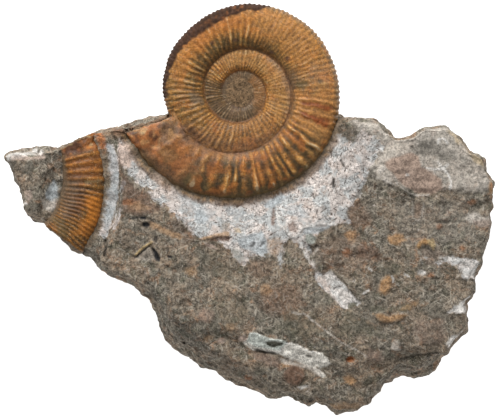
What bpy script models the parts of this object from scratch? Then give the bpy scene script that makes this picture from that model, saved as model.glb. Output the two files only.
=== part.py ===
"""A zugodactylites ammonite standing half out of its limestone block, with a length of a second one.

The block lies on its flat back with the worked face up: +X runs to the right of the face, +Y
towards the free half of the ammonite, and +Z up. The origin is under the middle of the whole
piece, on the surface it rests on. Sizes are in millimetres; a mesh is scaled to metres as it is
made.
"""

import math

import bmesh
import bpy
import numpy as np
from mathutils import Vector, noise
from mathutils.geometry import delaunay_2d_cdt

METRES = 0.001
INSIDE_ONLY = 1
POINT_MERGE = 1e-5

# The block's face and edges
FACE_LEVEL = 35.0
LEFT_END_SINKS = 3.0
LEFT_SLOPE_FROM, LEFT_SLOPE_TO = -15.0, -55.0
ROLL_HEIGHT, ROLL_LENGTH = 1.3, 26.0
LUMP_HEIGHT, LUMP_LENGTH = 0.8, 9.0
EDGE_DROP, EDGE_DROP_PER_FLANK = 3.5, 1.6
LOWER_EDGE_LEVEL, LOWER_EDGE_WANDER = 10.0, 3.0
LEAST_EDGE_WALL = 5.0
LOWER_EDGE_INSET = 0.6
BELLY_POWER = 1.6
FACE_POINT_SPACING = 3.5
BACK_POINT_SPACING = 6.5
GROOVE_POINT_STEP = 4.0
POINT_SHIFT, SHIFT_LENGTH = 0.35, 3.1
WIDE_FLANK, SLOPE_POINT_SHARE = 3.0, 0.4
LEAST_BRINK_GAP, LEAST_SLOPE_GAP, LEAST_BACK_GAP = 0.9, 1.2, 3.0

# The main shell: angles run clockwise in degrees from the left of its centre, 0 being where the
# last whorl begins, and radii are from the coiling axis
COIL_CENTRE = (-3.0, 37.5)
COIL_LEVEL = 27.0
SEAM_AT_START = 11.3
VENTER_AT_START = 24.8
BREADTH_AT_START = 4.9
GROWTH_PER_TURN = 2.0
LAST_WHORL_ANGLES = (0.0, 60.0, 95.0, 140.0, 180.0, 210.0, 245.0, 275.0, 300.0, 341.0)
LAST_WHORL_VENTERS = (24.8, 26.5, 28.3, 30.4, 31.9, 32.8, 33.2, 34.2, 36.2, 39.3)
LAST_WHORL_BREADTHS = (4.9, 5.1, 5.3, 5.5, 5.6, 5.7, 5.8, 5.8, 5.9, 6.0)
FLANK_FULLNESS = 2.6
RIBS_PER_TURN = 66
COLUMNS_PER_TURN = 2 * RIBS_PER_TURN
END_COLUMN = 125
BROKEN_END_DEGREES = 6.0
RIB_SHARE = 0.028
VENTER_NOTCH = 0.006
CORE_FILL, CORE_RADIUS = 1.3, 9.0
INNERMOST_TURN = 2
OUTER_WHORL_SHARES = (0.955, 0.8, 0.45, 0.12, 0.0)
SECOND_WHORL_SHARES = (0.66, 0.3, 0.0)
THIRD_WHORL_SHARES = (0.5, 0.0)
END_FACE_SHARES = (0.3, 0.6, 0.85)

# The length of a second shell at the block's left end: angles run anticlockwise from +X
SECOND_CENTRE = (-83.0, 8.4)
SECOND_LEVEL = 26.5
SECOND_FROM, SECOND_TO = -37.0, 26.0
SECOND_RIBS = 29
SECOND_VENTER, SECOND_SEAM = 37.0, 23.0
SECOND_BREADTH = 5.8
SECOND_FRONT_SHARES = (1.0, 0.94, 0.72, 0.4, 0.12, 0.0)
SECOND_BACK_SHARES = (0.15, 0.5, 0.85)

# Sockets, and the trenches worked round the shells
SOCKET_GAP = 0.35
SOCKET_UNDER = 0.6
SOCKET_TOP = 60.0
SOCKET_PAST_END, SOCKET_PAST_BLOCK = 0.8, 9.0
TRENCH_RISE = 1.6
TRENCH_ANGLES = (185.0, 215.0, 250.0, 275.0, 300.0, 320.0, 341.0)
TRENCH_WIDTHS = (7.0, 12.0, 15.0, 14.0, 9.0, 7.0, 4.0)
SECOND_TRENCH_WIDTH, SECOND_TRENCH_WALL, SECOND_TRENCH_RISE = 4.4, 1.8, 3.0
SECOND_INNER_WIDTH, SECOND_INNER_RISE = 6.0, 1.0

# The silhouette, clockwise from the left tip: x, y and how far in the face starts to fall
LEFT_TIP = [(-78.3, 16.5, 1.5), (-77.0, 18.5, 1.5), (-73.5, 19.5, 1.5), (-66.5, 19.5, 1.5)]
TOP_OVER_SECOND = [(-61.5, 20.0, 1.5), (-57.5, 22.0, 1.5), (-53.5, 23.5, 1.5), (-49.0, 25.5, 1.5)]
TOP_TO_SHELL = [(-43.5, 26.5, 2.0), (-38.0, 27.5, 2.5), (-32.0, 29.5, 3.0), (-26.3, 31.0, 3.0)]
TOP_BEHIND_SHELL = [
    (-20.5, 28.0, 2.5), (-11.0, 26.5, 2.5), (0.0, 25.5, 2.5), (13.0, 26.5, 2.5), (22.5, 28.0, 2.5)
]
RIGHT_OF_SHELL = [
    (29.3, 29.5, 2.0), (34.5, 29.5, 2.5), (40.0, 28.5, 2.5), (43.0, 27.5, 2.5), (45.0, 25.5, 2.0),
    (47.0, 23.0, 2.0), (49.5, 23.3, 2.0), (51.7, 23.5, 1.5)
]
UPPER_LOBE = [
    (54.0, 25.0, 1.5), (57.0, 26.0, 1.5), (60.0, 26.5, 1.5), (63.0, 26.5, 1.5), (64.5, 25.0, 1.5),
    (67.5, 23.5, 2.0), (68.5, 20.5, 2.0), (70.5, 18.5, 1.5), (74.5, 16.5, 1.5), (75.5, 14.5, 1.5),
    (76.0, 12.0, 1.5)
]
RIGHT_SIDE = [
    (78.3, 9.0, 1.5), (78.3, 5.5, 1.0), (77.5, 2.5, 1.0), (78.3, 0.5, 1.0), (77.3, -1.5, 1.0),
    (77.5, -5.0, 1.0), (76.5, -7.5, 1.0), (75.5, -12.5, 1.0), (74.0, -17.0, 1.0), (72.8, -22.0, 1.0),
    (72.1, -26.0, 1.0), (70.9, -28.5, 1.0), (69.4, -29.5, 1.5), (70.5, -31.0, 1.0), (69.3, -33.0, 1.0)
]
LOWER_RIGHT = [
    (69.7, -35.5, 1.0), (69.0, -39.0, 1.5), (66.0, -43.0, 1.5), (64.2, -44.5, 1.5), (64.0, -46.5, 1.5),
    (61.0, -48.0, 2.5), (59.5, -51.0, 4.0), (57.5, -53.0, 4.5), (53.0, -54.4, 4.5), (49.0, -53.2, 4.0),
    (47.0, -53.2, 3.0), (45.3, -55.0, 2.5), (42.7, -56.0, 2.0), (42.0, -58.5, 2.0), (39.0, -61.0, 2.5),
    (38.8, -62.5, 2.5), (34.5, -64.0, 3.0), (28.0, -65.7, 4.0)
]
BOTTOM_EDGE = [
    (25.8, -64.5, 4.0), (21.5, -61.7, 2.5), (19.3, -63.4, 2.0), (15.5, -61.7, 2.5), (13.0, -60.0, 3.0),
    (6.5, -60.7, 4.5), (2.7, -58.2, 5.0), (0.0, -58.0, 6.0), (-5.5, -55.0, 6.5), (-12.0, -51.8, 6.5),
    (-15.5, -51.0, 6.5)
]
LOWER_LEFT = [
    (-17.1, -49.5, 7.0), (-20.0, -47.5, 7.5), (-24.5, -45.0, 8.5), (-27.0, -41.5, 7.5), (-28.5, -38.0, 6.5),
    (-30.0, -32.3, 5.0), (-32.2, -29.0, 4.0), (-35.5, -25.8, 2.5), (-39.2, -23.3, 2.0), (-43.7, -21.4, 1.5)
]
UNDER_SECOND = [
    (-47.9, -18.2, 1.5), (-51.0, -15.0, 1.5), (-53.4, -14.6, 1.5), (-56.9, -13.0, 1.5), (-60.6, -9.8, 1.5),
    (-64.2, -6.6, 1.5)
]
LEFT_SIDE = [
    (-66.7, -4.2, 1.5), (-69.3, -3.5, 1.5), (-72.5, -0.3, 1.5), (-73.2, 3.6, 1.5), (-73.8, 8.0, 1.5),
    (-76.3, 13.0, 1.5)
]
SILHOUETTE = (
    LEFT_TIP + TOP_OVER_SECOND + TOP_TO_SHELL + TOP_BEHIND_SHELL + RIGHT_OF_SHELL + UPPER_LOBE
    + RIGHT_SIDE + LOWER_RIGHT + BOTTOM_EDGE + LOWER_LEFT + UNDER_SECOND + LEFT_SIDE
)
REST_FACE = [
    (-66.0, 11.0), (-54.0, 14.5), (-35.0, 18.0), (-16.0, 17.0), (3.5, 16.0), (26.0, 18.0), (42.0, 14.0),
    (60.0, 15.0), (68.0, 3.0), (66.0, -13.0), (62.0, -26.0), (57.0, -39.0), (45.0, -45.0), (32.0, -54.0),
    (16.0, -51.0), (-3.0, -45.0), (-16.0, -37.0), (-23.0, -25.0), (-40.0, -13.0), (-56.5, -3.5), (-66.0, 4.0)
]

# Ledges and hollows of the face: the step in height, how wide its slope is, and its corners
RAISED_LOBE = (
    1.8, 1.6,
    [(39.5, 13.0), (42.0, 24.0), (62.0, 32.0), (84.0, 22.0), (84.0, 3.5), (66.0, 4.0), (53.0, 4.0),
     (46.5, 8.0)],
)
LOBE_HOLLOW = (-1.2, 4.0, [(44.0, 30.0), (50.0, 26.0), (44.0, 15.0), (38.0, 12.0), (38.0, 20.0)])
LOWER_SHELF = (
    -2.6, 2.2,
    [(-20.0, -38.0), (-1.0, -40.5), (11.0, -43.5), (22.0, -46.5), (30.0, -52.0), (42.0, -56.0), (30.0, -76.0),
     (-30.0, -66.0)],
)
SCRAPED_STRIP = (-1.1, 1.0, [(22.0, -18.0), (26.0, -18.5), (35.5, -29.0), (31.0, -31.5), (23.5, -23.5)])
CORNER_SHELF = (-3.0, 2.0, [(36.0, -49.0), (50.0, -46.0), (62.0, -46.0), (66.0, -60.0), (40.0, -60.0)])
LOWER_RIGHT_SWELL = (1.2, 5.0, [(46.0, -32.0), (64.0, -33.0), (62.0, -44.0), (48.0, -44.0)])
FACE_STEPS = [RAISED_LOBE, LOBE_HOLLOW, LOWER_SHELF, SCRAPED_STRIP, CORNER_SHELF, LOWER_RIGHT_SWELL]

LIMESTONE_COLOUR = (0.17, 0.145, 0.12)
SHELL_COLOUR = (0.30, 0.155, 0.06)
SECOND_COLOUR = (0.31, 0.15, 0.05)


def smoothstep(low, high, value):
    """0 at low and 1 at high, easing in and out between them."""
    share = np.clip((np.asarray(value, float) - low) / (high - low), 0.0, 1.0)
    return share * share * (3.0 - 2.0 * share)


def wander(x, y, length, seed):
    """Smooth noise of about -1 to 1 over the plane, with features of one length."""
    places = zip(np.ravel(x) / length, np.ravel(y) / length)
    values = [noise.noise(Vector((a, b, seed))) for a, b in places]
    return np.reshape(values, np.shape(x))


def edge_distances(x, y, corners):
    """Distance from each point to each side of a closed polygon, and the share along that side."""
    start = np.asarray(corners, float)[:, :2]
    side = np.roll(start, -1, axis=0) - start
    across = np.stack([np.ravel(x), np.ravel(y)], axis=1)[:, None, :] - start[None]
    along = np.clip((across * side).sum(-1) / (side * side).sum(-1), 0.0, 1.0)
    gap = np.linalg.norm(across - along[..., None] * side, axis=-1)
    return gap, along


def inside(x, y, corners):
    """True for each point that lies in a closed polygon."""
    a = np.asarray(corners, float)[:, :2]
    b = np.roll(a, -1, axis=0)
    px, py = np.ravel(x)[:, None], np.ravel(y)[:, None]
    straddles = (a[:, 1] > py) != (b[:, 1] > py)
    rise = np.where(b[:, 1] == a[:, 1], 1.0, b[:, 1] - a[:, 1])
    crossing = a[:, 0] + (py - a[:, 1]) * (b[:, 0] - a[:, 0]) / rise
    return ((straddles & (px < crossing)).sum(axis=1) % 2).astype(bool)


def depth_in(x, y, corners):
    """Distance in from a polygon's sides, negative outside it."""
    gap, _ = edge_distances(x, y, corners)
    return np.where(inside(x, y, corners), 1.0, -1.0) * gap.min(axis=1)


# The main shell

def seam_radius(angle):
    """Radius of the seam where a whorl meets the one inside it."""
    return SEAM_AT_START * GROWTH_PER_TURN ** (np.asarray(angle, float) / 360.0)


def grown(angle, at_start, stations):
    """A size that grows as the spiral does inside the last whorl, and by stations along that."""
    inner = at_start * GROWTH_PER_TURN ** (np.minimum(angle, 0.0) / 360.0)
    return np.where(np.asarray(angle) < 0.0, inner, np.interp(angle, LAST_WHORL_ANGLES, stations))


def venter_radius(angle):
    """Radius of a whorl's outer edge."""
    return grown(angle, VENTER_AT_START, LAST_WHORL_VENTERS)


def half_breadth(angle):
    """Half of a whorl's thickness along the coiling axis."""
    return grown(angle, BREADTH_AT_START, LAST_WHORL_BREADTHS)


def oval(share):
    """Height of a whorl's side above its middle plane, as a share of the half breadth."""
    reach = np.clip(np.abs(2.0 * share - 1.0), 0.0, 1.0)
    return (1.0 - reach**FLANK_FULLNESS) ** (1.0 / FLANK_FULLNESS)


def rib_wave(angle):
    """1 on the crest of a rib and -1 between two ribs."""
    return np.cos(np.radians(angle) * RIBS_PER_TURN)


def degrees_of(column):
    """Angle of one of the lines that run along the crests and the furrows of the ribs."""
    return 360.0 * column / COLUMNS_PER_TURN


def shell_height(x, y):
    """Height of the shell's side above its middle plane, where whichever whorl is higher shows."""
    radius = np.hypot(x, y)
    around = np.degrees(np.arctan2(y, -np.asarray(x, float))) % 360.0
    end = degrees_of(END_COLUMN)
    height = CORE_FILL * smoothstep(CORE_RADIUS, 0.6 * CORE_RADIUS, radius)
    for turn in range(INNERMOST_TURN + 2):
        angle = around - 360.0 * turn
        seam, venter = seam_radius(angle), venter_radius(angle)
        share = np.clip((radius - seam) / (venter - seam), 0.0, 1.0)
        ribs = RIB_SHARE * (venter - seam) * rib_wave(angle) * smoothstep(0.0, 0.4, share)
        past = np.clip((angle - end + BROKEN_END_DEGREES) / BROKEN_END_DEGREES, 0.0, 1.0)
        side = (half_breadth(angle) + ribs) * oval(share) * np.sqrt(1.0 - past**2)
        height = np.where(angle <= end + POINT_MERGE, np.maximum(height, side), height)
    return height


def on_coil(angle, radius):
    """Place of a point of the shell in its middle plane."""
    turned = math.radians(float(angle))
    return (-float(radius) * math.cos(turned), float(radius) * math.sin(turned))


def shell_rim():
    """The shell's outer edge, notched between the ribs, then its broken end back to the start."""
    rim = []
    for column in range(END_COLUMN - COLUMNS_PER_TURN, END_COLUMN + 1):
        angle = degrees_of(column)
        rim.append(on_coil(angle, venter_radius(angle) * (1.0 + VENTER_NOTCH * rib_wave(angle))))
    last, first = venter_radius(angle), venter_radius(degrees_of(END_COLUMN - COLUMNS_PER_TURN))
    return rim + [on_coil(angle, last + (first - last) * share) for share in END_FACE_SHARES]


def shell_lines():
    """Lines of points from the seam of the last whorl to the coil's centre, one for each column."""
    for column in range(COLUMNS_PER_TURN):
        outermost = column if column < END_COLUMN else column - COLUMNS_PER_TURN
        line = []
        for whorl, shares in enumerate((OUTER_WHORL_SHARES, SECOND_WHORL_SHARES, THIRD_WHORL_SHARES)):
            angle = degrees_of(outermost - whorl * COLUMNS_PER_TURN)
            if whorl == INNERMOST_TURN and column % 2:
                break
            seam, venter = seam_radius(angle), venter_radius(angle)
            line += [on_coil(angle, seam + (venter - seam) * share) for share in shares]
        yield line


def shell_mesh():
    """The whole shell: one side triangulated along the ribs, and its mirror image behind."""
    points, lines = list(shell_rim()), []
    rim = list(range(len(points)))
    for line in shell_lines():
        ids = list(range(len(points), len(points) + len(line)))
        points += line
        lines += list(zip(ids, ids[1:]))
    points.append((0.0, 0.0))
    found = delaunay_2d_cdt([Vector(p) for p in points], lines, [rim], INSIDE_ONLY, POINT_MERGE)
    places, _, faces = found[:3]
    on_rim = open_edge_points(faces)
    flat = np.array([tuple(p) for p in places])
    height = shell_height(flat[:, 0], flat[:, 1])
    height[sorted(on_rim)] = 0.0
    bm = bmesh.new()
    front = [bm.verts.new((*place, z)) for place, z in zip(flat, height)]
    back = [v if i in on_rim else bm.verts.new((v.co.x, v.co.y, -v.co.z)) for i, v in enumerate(front)]
    for face in faces:
        bm.faces.new([front[i] for i in face])
        bm.faces.new([back[i] for i in reversed(face)])
    return bm


def open_edge_points(faces):
    """The points on edges that belong to one face only."""
    counts = {}
    for face in faces:
        for a, b in zip(face, list(face[1:]) + [face[0]]):
            key = (min(a, b), max(a, b))
            counts[key] = counts.get(key, 0) + 1
    return {i for key, count in counts.items() if count == 1 for i in key}


# The length of the second shell

def second_point(angle, share, side, lift=0.0):
    """A point of the second whorl's skin, on its front (side 1) or its back (side -1)."""
    seam = SECOND_SEAM * GROWTH_PER_TURN ** (angle / 360.0)
    radius = seam + (SECOND_VENTER - seam) * share
    turned = math.radians(angle)
    height = side * float(oval(share)) * (SECOND_BREADTH + lift)
    return (radius * math.cos(turned), radius * math.sin(turned), height)


def second_mesh():
    """The ribbed length of whorl, with a broken end where each edge of the block cuts it."""
    bm = bmesh.new()
    columns = 2 * SECOND_RIBS
    rings = []
    for column in range(columns + 1):
        angle = SECOND_FROM + (SECOND_TO - SECOND_FROM) * column / columns
        lift = RIB_SHARE * (SECOND_VENTER - SECOND_SEAM) * (-1.0) ** column
        ring = [second_point(angle, share, 1, lift) for share in SECOND_FRONT_SHARES]
        ring += [second_point(angle, share, -1) for share in SECOND_BACK_SHARES]
        rings.append([bm.verts.new(p) for p in ring])
    for here, there in zip(rings, rings[1:]):
        for i in range(len(here)):
            bm.faces.new((here[i - 1], here[i], there[i], there[i - 1]))
    bm.faces.new(rings[0])
    bm.faces.new(list(reversed(rings[-1])))
    return bm


# The block

def trench_round_shell(x, y, level):
    """Lowers the face to the trench that was worked round the main shell's outer edge."""
    across, up = x - COIL_CENTRE[0], y - COIL_CENTRE[1]
    around = np.degrees(np.arctan2(up, -across)) % 360.0
    beyond = np.hypot(across, up) - venter_radius(np.minimum(around, degrees_of(END_COLUMN)))
    rise = smoothstep(0.0, 1.0, beyond / np.interp(around, TRENCH_ANGLES, TRENCH_WIDTHS))
    floor = np.minimum(level, COIL_LEVEL + TRENCH_RISE)
    return floor + (level - floor) * rise


def trench_round_second(x, y, level):
    """Lowers the face along both edges of the second whorl."""
    across, up = x - SECOND_CENTRE[0], y - SECOND_CENTRE[1]
    radius, angle = np.hypot(across, up), np.degrees(np.arctan2(up, across))
    outside = radius - SECOND_VENTER
    inner = SECOND_SEAM * GROWTH_PER_TURN ** (angle / 360.0) - radius
    wall = smoothstep(SECOND_TRENCH_WIDTH, SECOND_TRENCH_WIDTH + SECOND_TRENCH_WALL, outside)
    rise = np.maximum(wall, smoothstep(0.0, SECOND_INNER_WIDTH, inner))
    lift = np.where(inner > 0.0, SECOND_INNER_RISE, SECOND_TRENCH_RISE)
    floor = np.minimum(level, SECOND_LEVEL + lift)
    return floor + (level - floor) * rise


def face_level(x, y):
    """Height of the worked face, away from the block's edges."""
    level = FACE_LEVEL - LEFT_END_SINKS * smoothstep(LEFT_SLOPE_FROM, LEFT_SLOPE_TO, x)
    level = level + ROLL_HEIGHT * wander(x, y, ROLL_LENGTH, 3.0)
    level = level + LUMP_HEIGHT * wander(x, y, LUMP_LENGTH, 7.0)
    for step, slope, corners in FACE_STEPS:
        level = level + step * smoothstep(-slope, slope, depth_in(x, y, corners))
    return trench_round_second(x, y, trench_round_shell(x, y, level))


def edge_level(x, y, flank):
    """Height of the silhouette's sharp edge, lower where the face falls away over a wide flank."""
    return face_level(x, y) - EDGE_DROP - EDGE_DROP_PER_FLANK * flank


def nearest_side(x, y, corners, values):
    """Distance to the nearest side of a polygon, and there a value that its corners give."""
    gap, along = edge_distances(x, y, corners)
    side = gap.argmin(axis=1)
    rows = np.arange(len(gap))
    share = along[rows, side]
    after = (side + 1) % len(corners)
    return gap[rows, side], values[side] * (1.0 - share) + values[after] * share


def block_top(x, y):
    """Height of the block's upper side, rounded over towards the silhouette."""
    outline = np.array(SILHOUETTE)
    gap, flank = nearest_side(x, y, outline, outline[:, 2])
    _, edge = nearest_side(x, y, outline, edge_level(*outline.T))
    rise = np.sin(0.5 * math.pi * np.clip(gap / flank, 0.0, 1.0))
    return edge + (face_level(x, y) - edge) * rise


def inward_normals(corners):
    """Unit directions into a clockwise polygon at its corners."""
    side = np.roll(corners, -1, axis=0) - corners
    side /= np.linalg.norm(side, axis=1)[:, None]
    chord = side + np.roll(side, 1, axis=0)
    right = np.stack([chord[:, 1], -chord[:, 0]], axis=1)
    return right / np.linalg.norm(right, axis=1)[:, None]


def spread(spacing):
    """Points over the block in staggered rows, each moved a little off its row."""
    low, high = np.array(SILHOUETTE)[:, :2].min(axis=0), np.array(SILHOUETTE)[:, :2].max(axis=0)
    rows = np.arange(low[1], high[1], spacing * math.sqrt(0.75))
    points = []
    for row, y in enumerate(rows):
        for x in np.arange(low[0] + (row % 2) * 0.5 * spacing, high[0], spacing):
            shift = noise.noise_vector(Vector((x / SHIFT_LENGTH, y / SHIFT_LENGTH, 1.0)))
            shift *= POINT_SHIFT * spacing
            points.append((x + shift.x, y + shift.y))
    return np.array(points)


def apart(points, kept, least):
    """The points that keep their distance from those kept already and from each other."""
    chosen = [tuple(p) for p in kept]
    found = []
    for point in points:
        if np.hypot(*(np.array(chosen) - point).T).min() > least:
            chosen.append(tuple(point))
            found.append(tuple(point))
    return found


def groove_points():
    """Points along the foot and the brink of the groove on the second whorl's outer side."""
    brink = SECOND_TRENCH_WIDTH + SECOND_TRENCH_WALL
    across = np.array([0.5 * SECOND_TRENCH_WIDTH, SECOND_TRENCH_WIDTH, brink])
    turned = np.radians(np.arange(SECOND_FROM, SECOND_TO + GROOVE_POINT_STEP, GROOVE_POINT_STEP))
    radius, turned = (grid.ravel() for grid in np.meshgrid(SECOND_VENTER + across, turned))
    return np.stack([radius * np.cos(turned), radius * np.sin(turned)], axis=1) + SECOND_CENTRE


def face_points(outline):
    """Points inside the silhouette: the flanks' upper ends, half way down wide ones, and the face."""
    corners, flank = outline[:, :2], outline[:, 2]
    inward = inward_normals(corners)
    brink = corners + inward * flank[:, None]
    slope = (corners + inward * SLOPE_POINT_SHARE * flank[:, None])[flank >= WIDE_FLANK]
    groove = groove_points()
    found = apart(brink[depth_in(*brink.T, outline) > 0.85 * flank], corners, LEAST_BRINK_GAP)
    for points in (slope, groove):
        within = points[depth_in(*points.T, outline) > LEAST_BRINK_GAP]
        found += apart(within, list(corners) + found, LEAST_SLOPE_GAP)
    grid = spread(FACE_POINT_SPACING)
    _, width = nearest_side(*grid.T, outline, flank)
    grid = grid[depth_in(*grid.T, outline) > width + 0.3 * FACE_POINT_SPACING]
    return found + apart(grid, list(corners) + found, 0.55 * FACE_POINT_SPACING)


def surface(bm, rim, inner_points, heights_of, lines=(), flip=False):
    """Triangulates a rim's inside through given points and adds it to the mesh."""
    flat = [(v.co.x, v.co.y) for v in rim] + [tuple(p) for p in inner_points]
    border = [list(range(len(rim)))]
    found = delaunay_2d_cdt([Vector(p) for p in flat], list(lines), border, INSIDE_ONLY, POINT_MERGE)
    places, _, faces, sources = found[:4]
    added = np.array([tuple(p) for p in places])
    heights = heights_of(added[:, 0], added[:, 1])
    verts = []
    for place, height, source in zip(places, heights, sources):
        on_rim = [i for i in source if i < len(rim)]
        verts.append(rim[on_rim[0]] if on_rim else bm.verts.new((place.x, place.y, height)))
    for face in faces:
        bm.faces.new([verts[i] for i in (reversed(face) if flip else face)])


def back_height(x, y, outline, low_edge):
    """Height of the block's rounded back, flat where it rests."""
    gap, edge = nearest_side(x, y, outline, low_edge)
    to_rest = np.maximum(-depth_in(x, y, REST_FACE), 0.0)
    return edge * (to_rest / (to_rest + gap + POINT_MERGE)) ** BELLY_POWER


def block_mesh():
    """The block before its sockets are cut: face, steep side and back."""
    outline = np.array(SILHOUETTE)
    corners = outline[:, :2]
    top = edge_level(*outline.T)
    low = LOWER_EDGE_LEVEL + LOWER_EDGE_WANDER * wander(*corners.T, 11.0, 5.0)
    low = np.minimum(low, top - LEAST_EDGE_WALL)
    under = corners + inward_normals(corners) * LOWER_EDGE_INSET
    bm = bmesh.new()
    upper = [bm.verts.new((x, y, z)) for (x, y), z in zip(corners, top)]
    lower = [bm.verts.new((x, y, z)) for (x, y), z in zip(under, low)]
    for i in range(len(upper)):
        bm.faces.new((upper[i - 1], upper[i], lower[i], lower[i - 1]))
    surface(bm, upper, face_points(outline), block_top)
    grid = spread(BACK_POINT_SPACING)
    on_slope = (depth_in(*grid.T, under) > LEAST_BACK_GAP) & (depth_in(*grid.T, REST_FACE) < -LEAST_BACK_GAP)
    points = REST_FACE + apart(grid[on_slope], REST_FACE, LEAST_BACK_GAP)
    first, count = len(lower), len(REST_FACE)
    rest_lines = [(first + i, first + (i + 1) % count) for i in range(count)]
    surface(bm, lower, points, lambda x, y: back_height(x, y, under, low), rest_lines, flip=True)
    return bm


def prism(rim, floor, top):
    """An upright closed shape over a closed line of points."""
    bm = bmesh.new()
    base = [bm.verts.new((x, y, floor)) for x, y in rim]
    bottom = bm.faces.new(base)
    raised = bmesh.ops.extrude_face_region(bm, geom=[bottom])["geom"]
    lift = Vector((0.0, 0.0, top - floor))
    bmesh.ops.translate(bm, verts=[v for v in raised if isinstance(v, bmesh.types.BMVert)], vec=lift)
    return bm


def shell_socket():
    """Cutter for the main shell's bed: its outline with clearance, upright, with a flat floor."""
    margin = SOCKET_GAP + VENTER_NOTCH * max(LAST_WHORL_VENTERS)
    end = degrees_of(END_COLUMN)
    angles = np.linspace(end - 360.0, end + SOCKET_PAST_END, RIBS_PER_TURN)
    rim = [on_coil(angle, venter_radius(min(angle, end)) + margin) for angle in angles]
    floor = -max(LAST_WHORL_BREADTHS) - SOCKET_UNDER
    return prism(rim, floor, SOCKET_TOP - COIL_LEVEL)


def second_socket():
    """Cutter for the second whorl's bed, which runs out through both edges of the block."""
    angles = np.linspace(SECOND_FROM - SOCKET_PAST_BLOCK, SECOND_TO + SOCKET_PAST_BLOCK, SECOND_RIBS)
    outer = [(SECOND_VENTER + SOCKET_GAP, a) for a in angles]
    inner = [(SECOND_SEAM * GROWTH_PER_TURN ** (a / 360.0) - SOCKET_GAP, a) for a in reversed(angles)]
    rim = [(r * math.cos(math.radians(a)), r * math.sin(math.radians(a))) for r, a in outer + inner]
    return prism(rim, -SECOND_BREADTH - SOCKET_UNDER, SOCKET_TOP - SECOND_LEVEL)


# Objects

def material(name, colour, roughness):
    """A plain Principled material."""
    made = bpy.data.materials.new(name)
    made.use_nodes = True
    shader = made.node_tree.nodes["Principled BSDF"]
    shader.inputs["Base Color"].default_value = (*colour, 1.0)
    shader.inputs["Roughness"].default_value = roughness
    shader.inputs["Metallic"].default_value = 0.0
    return made


def new_object(name, bm, place=(0.0, 0.0, 0.0), finish=None):
    """Turns a mesh in millimetres into an object in metres, its faces pointing out."""
    bmesh.ops.recalc_face_normals(bm, faces=bm.faces)
    bmesh.ops.scale(bm, vec=(METRES, METRES, METRES), verts=bm.verts)
    mesh = bpy.data.meshes.new(name)
    bm.to_mesh(mesh)
    bm.free()
    obj = bpy.data.objects.new(name, mesh)
    obj.location = Vector(place) * METRES
    bpy.context.scene.collection.objects.link(obj)
    if finish is None:
        obj.hide_render = True
        obj.display_type = "WIRE"
    else:
        mesh.materials.append(finish)
    return obj


def cut(obj, cutter):
    """Cuts one closed shape out of another."""
    boolean = obj.modifiers.new("cut_" + cutter.name, "BOOLEAN")
    boolean.operation = "DIFFERENCE"
    boolean.solver = "EXACT"
    boolean.object = cutter


def main():
    """Clears the scene and makes the block and the two shells."""
    for obj in list(bpy.data.objects):
        bpy.data.objects.remove(obj)
    shell_place = (*COIL_CENTRE, COIL_LEVEL)
    second_place = (*SECOND_CENTRE, SECOND_LEVEL)
    block = new_object("limestone_block", block_mesh(), finish=material("limestone", LIMESTONE_COLOUR, 0.9))
    new_object("ammonite", shell_mesh(), shell_place, material("shell", SHELL_COLOUR, 0.6))
    new_object("second_whorl", second_mesh(), second_place, material("second_shell", SECOND_COLOUR, 0.6))
    cut(block, new_object("shell_socket", shell_socket(), shell_place))
    cut(block, new_object("second_socket", second_socket(), second_place))


main()
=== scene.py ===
"""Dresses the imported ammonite: a ribbed shell half free of a limestone block, and a second whorl.

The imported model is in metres. Everything here is worked out in millimetres in the same frame, with
+X to the right of the worked face, +Y towards the free half of the shell and +Z out of the face,
and MM turns it into metres when a mesh is made. Places are rows of x, y and z; angles are degrees.
"""

import logging
import math
import sys
from dataclasses import dataclass, field
from enum import Enum

import bpy
import numpy as np
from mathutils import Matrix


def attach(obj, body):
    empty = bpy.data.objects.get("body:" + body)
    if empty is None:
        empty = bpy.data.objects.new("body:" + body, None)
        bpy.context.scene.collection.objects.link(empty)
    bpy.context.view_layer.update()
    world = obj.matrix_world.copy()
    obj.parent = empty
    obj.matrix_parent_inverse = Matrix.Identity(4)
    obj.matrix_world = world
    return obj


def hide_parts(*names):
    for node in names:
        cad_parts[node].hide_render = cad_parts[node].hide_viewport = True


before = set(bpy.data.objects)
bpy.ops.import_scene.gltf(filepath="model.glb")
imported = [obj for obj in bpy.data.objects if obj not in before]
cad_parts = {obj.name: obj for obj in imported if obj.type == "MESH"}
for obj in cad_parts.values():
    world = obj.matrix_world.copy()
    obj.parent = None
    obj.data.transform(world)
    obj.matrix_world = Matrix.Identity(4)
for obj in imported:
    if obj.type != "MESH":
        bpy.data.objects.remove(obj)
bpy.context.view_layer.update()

MM = 0.001
BODY = "root"
SECTION = 2.6
SAME_PLACE = 0.004
LOG = logging.getLogger("ammonite")

Array = np.ndarray
Piece = bpy.types.Object
Material = bpy.types.Material
Socket = bpy.types.NodeSocket
Place = tuple[float, float]


# Colours

@dataclass(frozen=True)
class Tone:
    """A colour as it looks on the real piece, from 0 to 255 for each channel."""

    red: float
    green: float
    blue: float

    def linear(self) -> tuple[float, float, float, float]:
        """The same colour as the shaders count it."""
        parts = (((part / 255.0 + 0.055) / 1.055) ** 2.4 for part in (self.red, self.green, self.blue))
        return (*parts, 1.0)


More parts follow.
